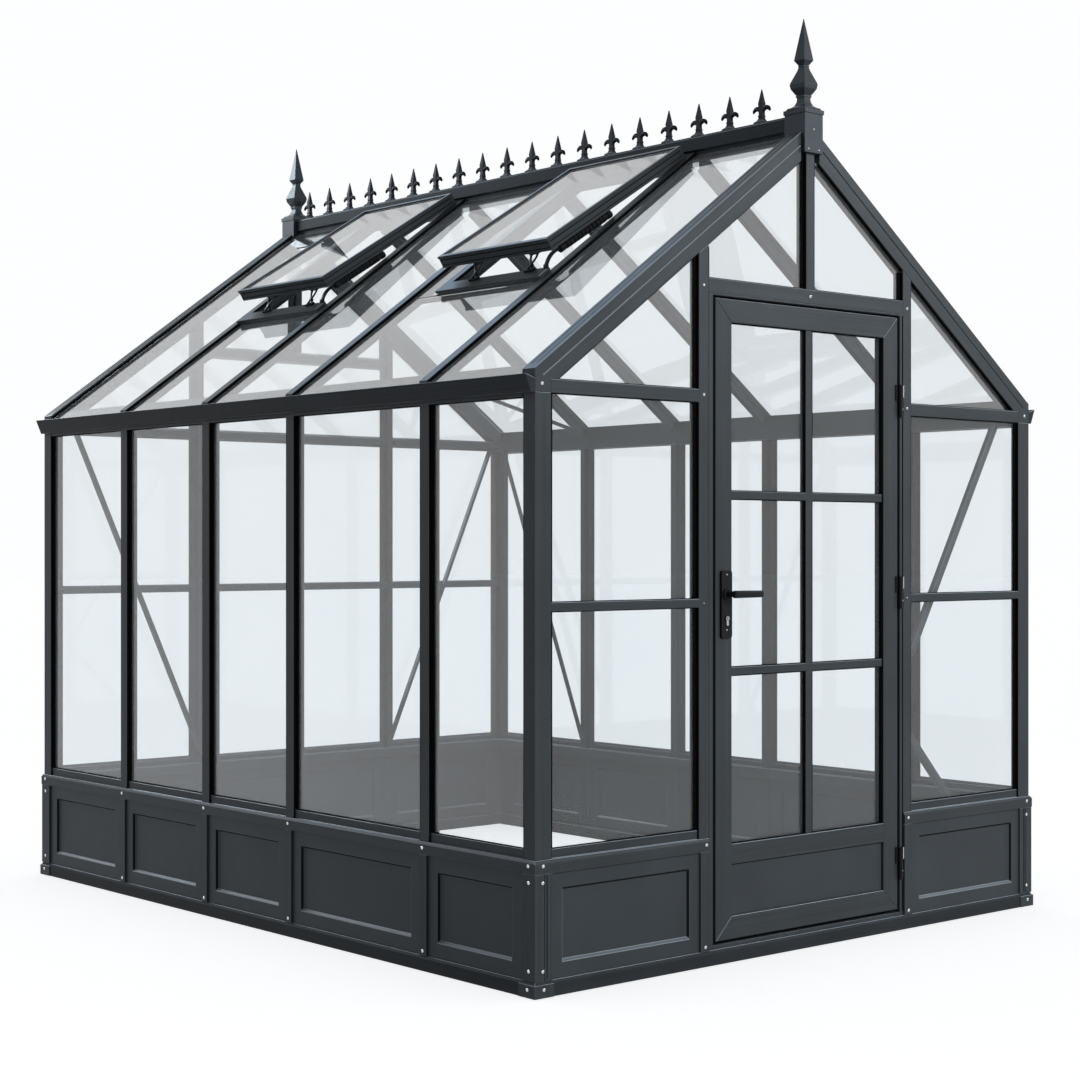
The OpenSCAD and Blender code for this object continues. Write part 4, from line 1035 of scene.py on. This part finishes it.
# The keyway is a dark rubber inlay in the plug's face: painted shade in the slot.
lock, keyhole_shade = bmesh.new(), bmesh.new()
for face, way in plates:
    add_prism(lock, lock_outline, lock_back, lock_front,
              lambda u, v, w, f=face, k=way: Vector((lever_x + u, f + k * w, lock_z + v)))
    add_turned(lock, plug, (lever_x, face, lock_z), (0, way, 0), 28)
    depth = sorted((face + way * key_back, face + way * key_front))
    add_block(keyhole_shade, (lever_x - key_half_wide, depth[0], lock_z - key_half_high),
              (lever_x + key_half_wide, depth[1], lock_z + key_half_high))
    for z in plate_screws:
        add_turned(lock, screw_of(0.5, 0.4), (lever_x, face, z), (0, way, 0), 14)
make_piece("lock_faces", lock, lock_steel, body="door", smooth=True)
make_piece("keyhole_shade_inlays", keyhole_shade, rubber_and_painted_shade, body="door")

# %% [markdown]
# ## The lever handles
# A lever is a round neck and a flat grip with soft ends. The grip is a loft: the same
# rounded outline placed at stations along its length, smaller at the two ends. Both
# levers sit on one spindle, so they are one piece on the lever body.

# %% Levers


def squarish(half_deep, half_high, steps=20, power=0.5):
    """A rounded rectangle: an ellipse whose curve is pushed out to its corners."""
    points = []
    for k in range(steps):
        c, s = math.cos(2 * math.pi * k / steps), math.sin(2 * math.pi * k / steps)
        points.append((math.copysign(abs(c) ** power, c) * half_deep,
                       math.copysign(abs(s) ** power, s) * half_high))
    return points


levers = bmesh.new()
grip_stations = [(-0.0095, 0.45), (-0.0085, 0.8), (-0.006, 0.97), (0.0, 1.0), (0.06, 0.96), (0.108, 0.92),
                 (0.1125, 0.84), (0.1145, 0.6)]
neck = [(0, 0.0), (0.0088, 0.0), (0.0088, 0.014), (0.0078, 0.02), (0.0078, 0.034), (0.009, 0.042),
        (0, 0.042)]
grip_reach, grip_outline = 0.0445, squarish(0.0075, 0.0112)
for way, face in ((-1, door_face), (1, door_back)):
    centre = face + way * grip_reach
    add_turned(levers, neck, (lever_x, face, lever_z), (0, way, 0), 24)
    add_loft(levers, [[Vector((lever_x + x, centre + deep * size, lever_z + high * size))
                       for deep, high in grip_outline] for x, size in grip_stations])
lever_pair = make_piece("lever_pair", levers, black_coat, "lever", smooth=True)
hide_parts("door_lever")

# %% [markdown]
# ## Steel on the hinges
# Three hinges carry the door. Two bits of bright steel show on each: a small screw in
# its lower half, and a slim pin with rounded ends along its upper half. Both are
# turned shapes, like the screws of the walls.

# %% Hinge screws
hinge_heights = (0.215, 1.085, 1.7)
pin = [(0, 0.0), (0.0016, 0.0006), (0.0018, 0.003), (0.0018, 0.036), (0.0016, 0.038), (0, 0.0386)]
hinge_screws = bmesh.new()
for z in hinge_heights:
    add_turned(hinge_screws, screw_of(0.6, 0.6), (0.439, door_face - 0.003, z - 0.026), (0, -1, 0), 14)
    add_turned(hinge_screws, pin, (0.4402, door_face - 0.0058, z + 0.012), (0, 0, 1), 12)
make_piece("hinge_screws", hinge_screws, steel, smooth=True)

# %% [markdown]
# ## The ridge cresting
# Each spike is a casting in the shape of a lily: a square foot, a waist with a collar,
# a four-sided spear, and two fat petals that rise from the stem and droop to a tip. The
# petals decide the outline against the sky, so they are swept along a curve, thick in
# the middle and thin at the tip. One helper draws a spike at a place.


# %% One spike
petal = [(0.004, 0.037, 0.0055), (0.0095, 0.0465, 0.0075), (0.018, 0.0508, 0.0076), (0.0265, 0.0495, 0.007),
         (0.0322, 0.045, 0.006), (0.0338, 0.0408, 0.0046), (0.0328, 0.0382, 0.0024)]
spike_stem = [(0.0185, 0.0), (0.0185, 0.005), (0.0165, 0.0065), (0.0112, 0.0105), (0.0082, 0.0165),
              (0.0074, 0.021), (0.0084, 0.0225), (0.0084, 0.0265), (0.0072, 0.028), (0.007, 0.044),
              (0.0086, 0.064), (0.0012, 0.109), (0.0004, 0.11)]


def add_spike(shape, y, z):
    """A lily that stands at a place on the ridge: its stem and two petals."""
    corners = ((1, 1), (-1, 1), (-1, -1), (1, -1))
    add_loft(shape, [[Vector((half * a, y + half * b, z + height)) for a, b in corners]
                     for half, height in spike_stem])
    for side in (-1, 1):
        path = smooth_path(petal, 3)
        rings = []
        for i, (out, height, thick) in enumerate(path):
            before, after = path[max(i - 1, 0)], path[min(i + 1, len(path) - 1)]
            along = Vector((0, side * (after.x - before.x), after.y - before.y)).normalized()
            across = along.cross(Vector((1, 0, 0)))
            rings.append(oval(Vector((0, y + side * out, z + height)), thick, Vector((0.75, 0, 0)), across))
        add_loft(shape, rings)


print("a spike is", round(1000 * spike_stem[-1][1]), "mm high")

# %% [markdown]
# The spikes stand at one spacing from the front block to the last place that is clear
# of the back one, and a single object holds the whole row. Mirrored in the ridge and
# the panes it would look like a second row, so mirror rays pass through it.

# %% The row of spikes
ridge_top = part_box("ridge_beam")[1].z
block_depth, first_gap, spike_step, last_gap = 0.07, 0.134, 0.139, 0.094
spikes = bmesh.new()
spike_y = -half_length + block_depth + first_gap
while spike_y <= half_length - last_gap:
    add_spike(spikes, spike_y, ridge_top)
    spike_y += spike_step
cresting = make_piece("lily_cresting", spikes, spike_coat, smooth=True)
cresting.visible_glossy = False
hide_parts("ridge_cresting")
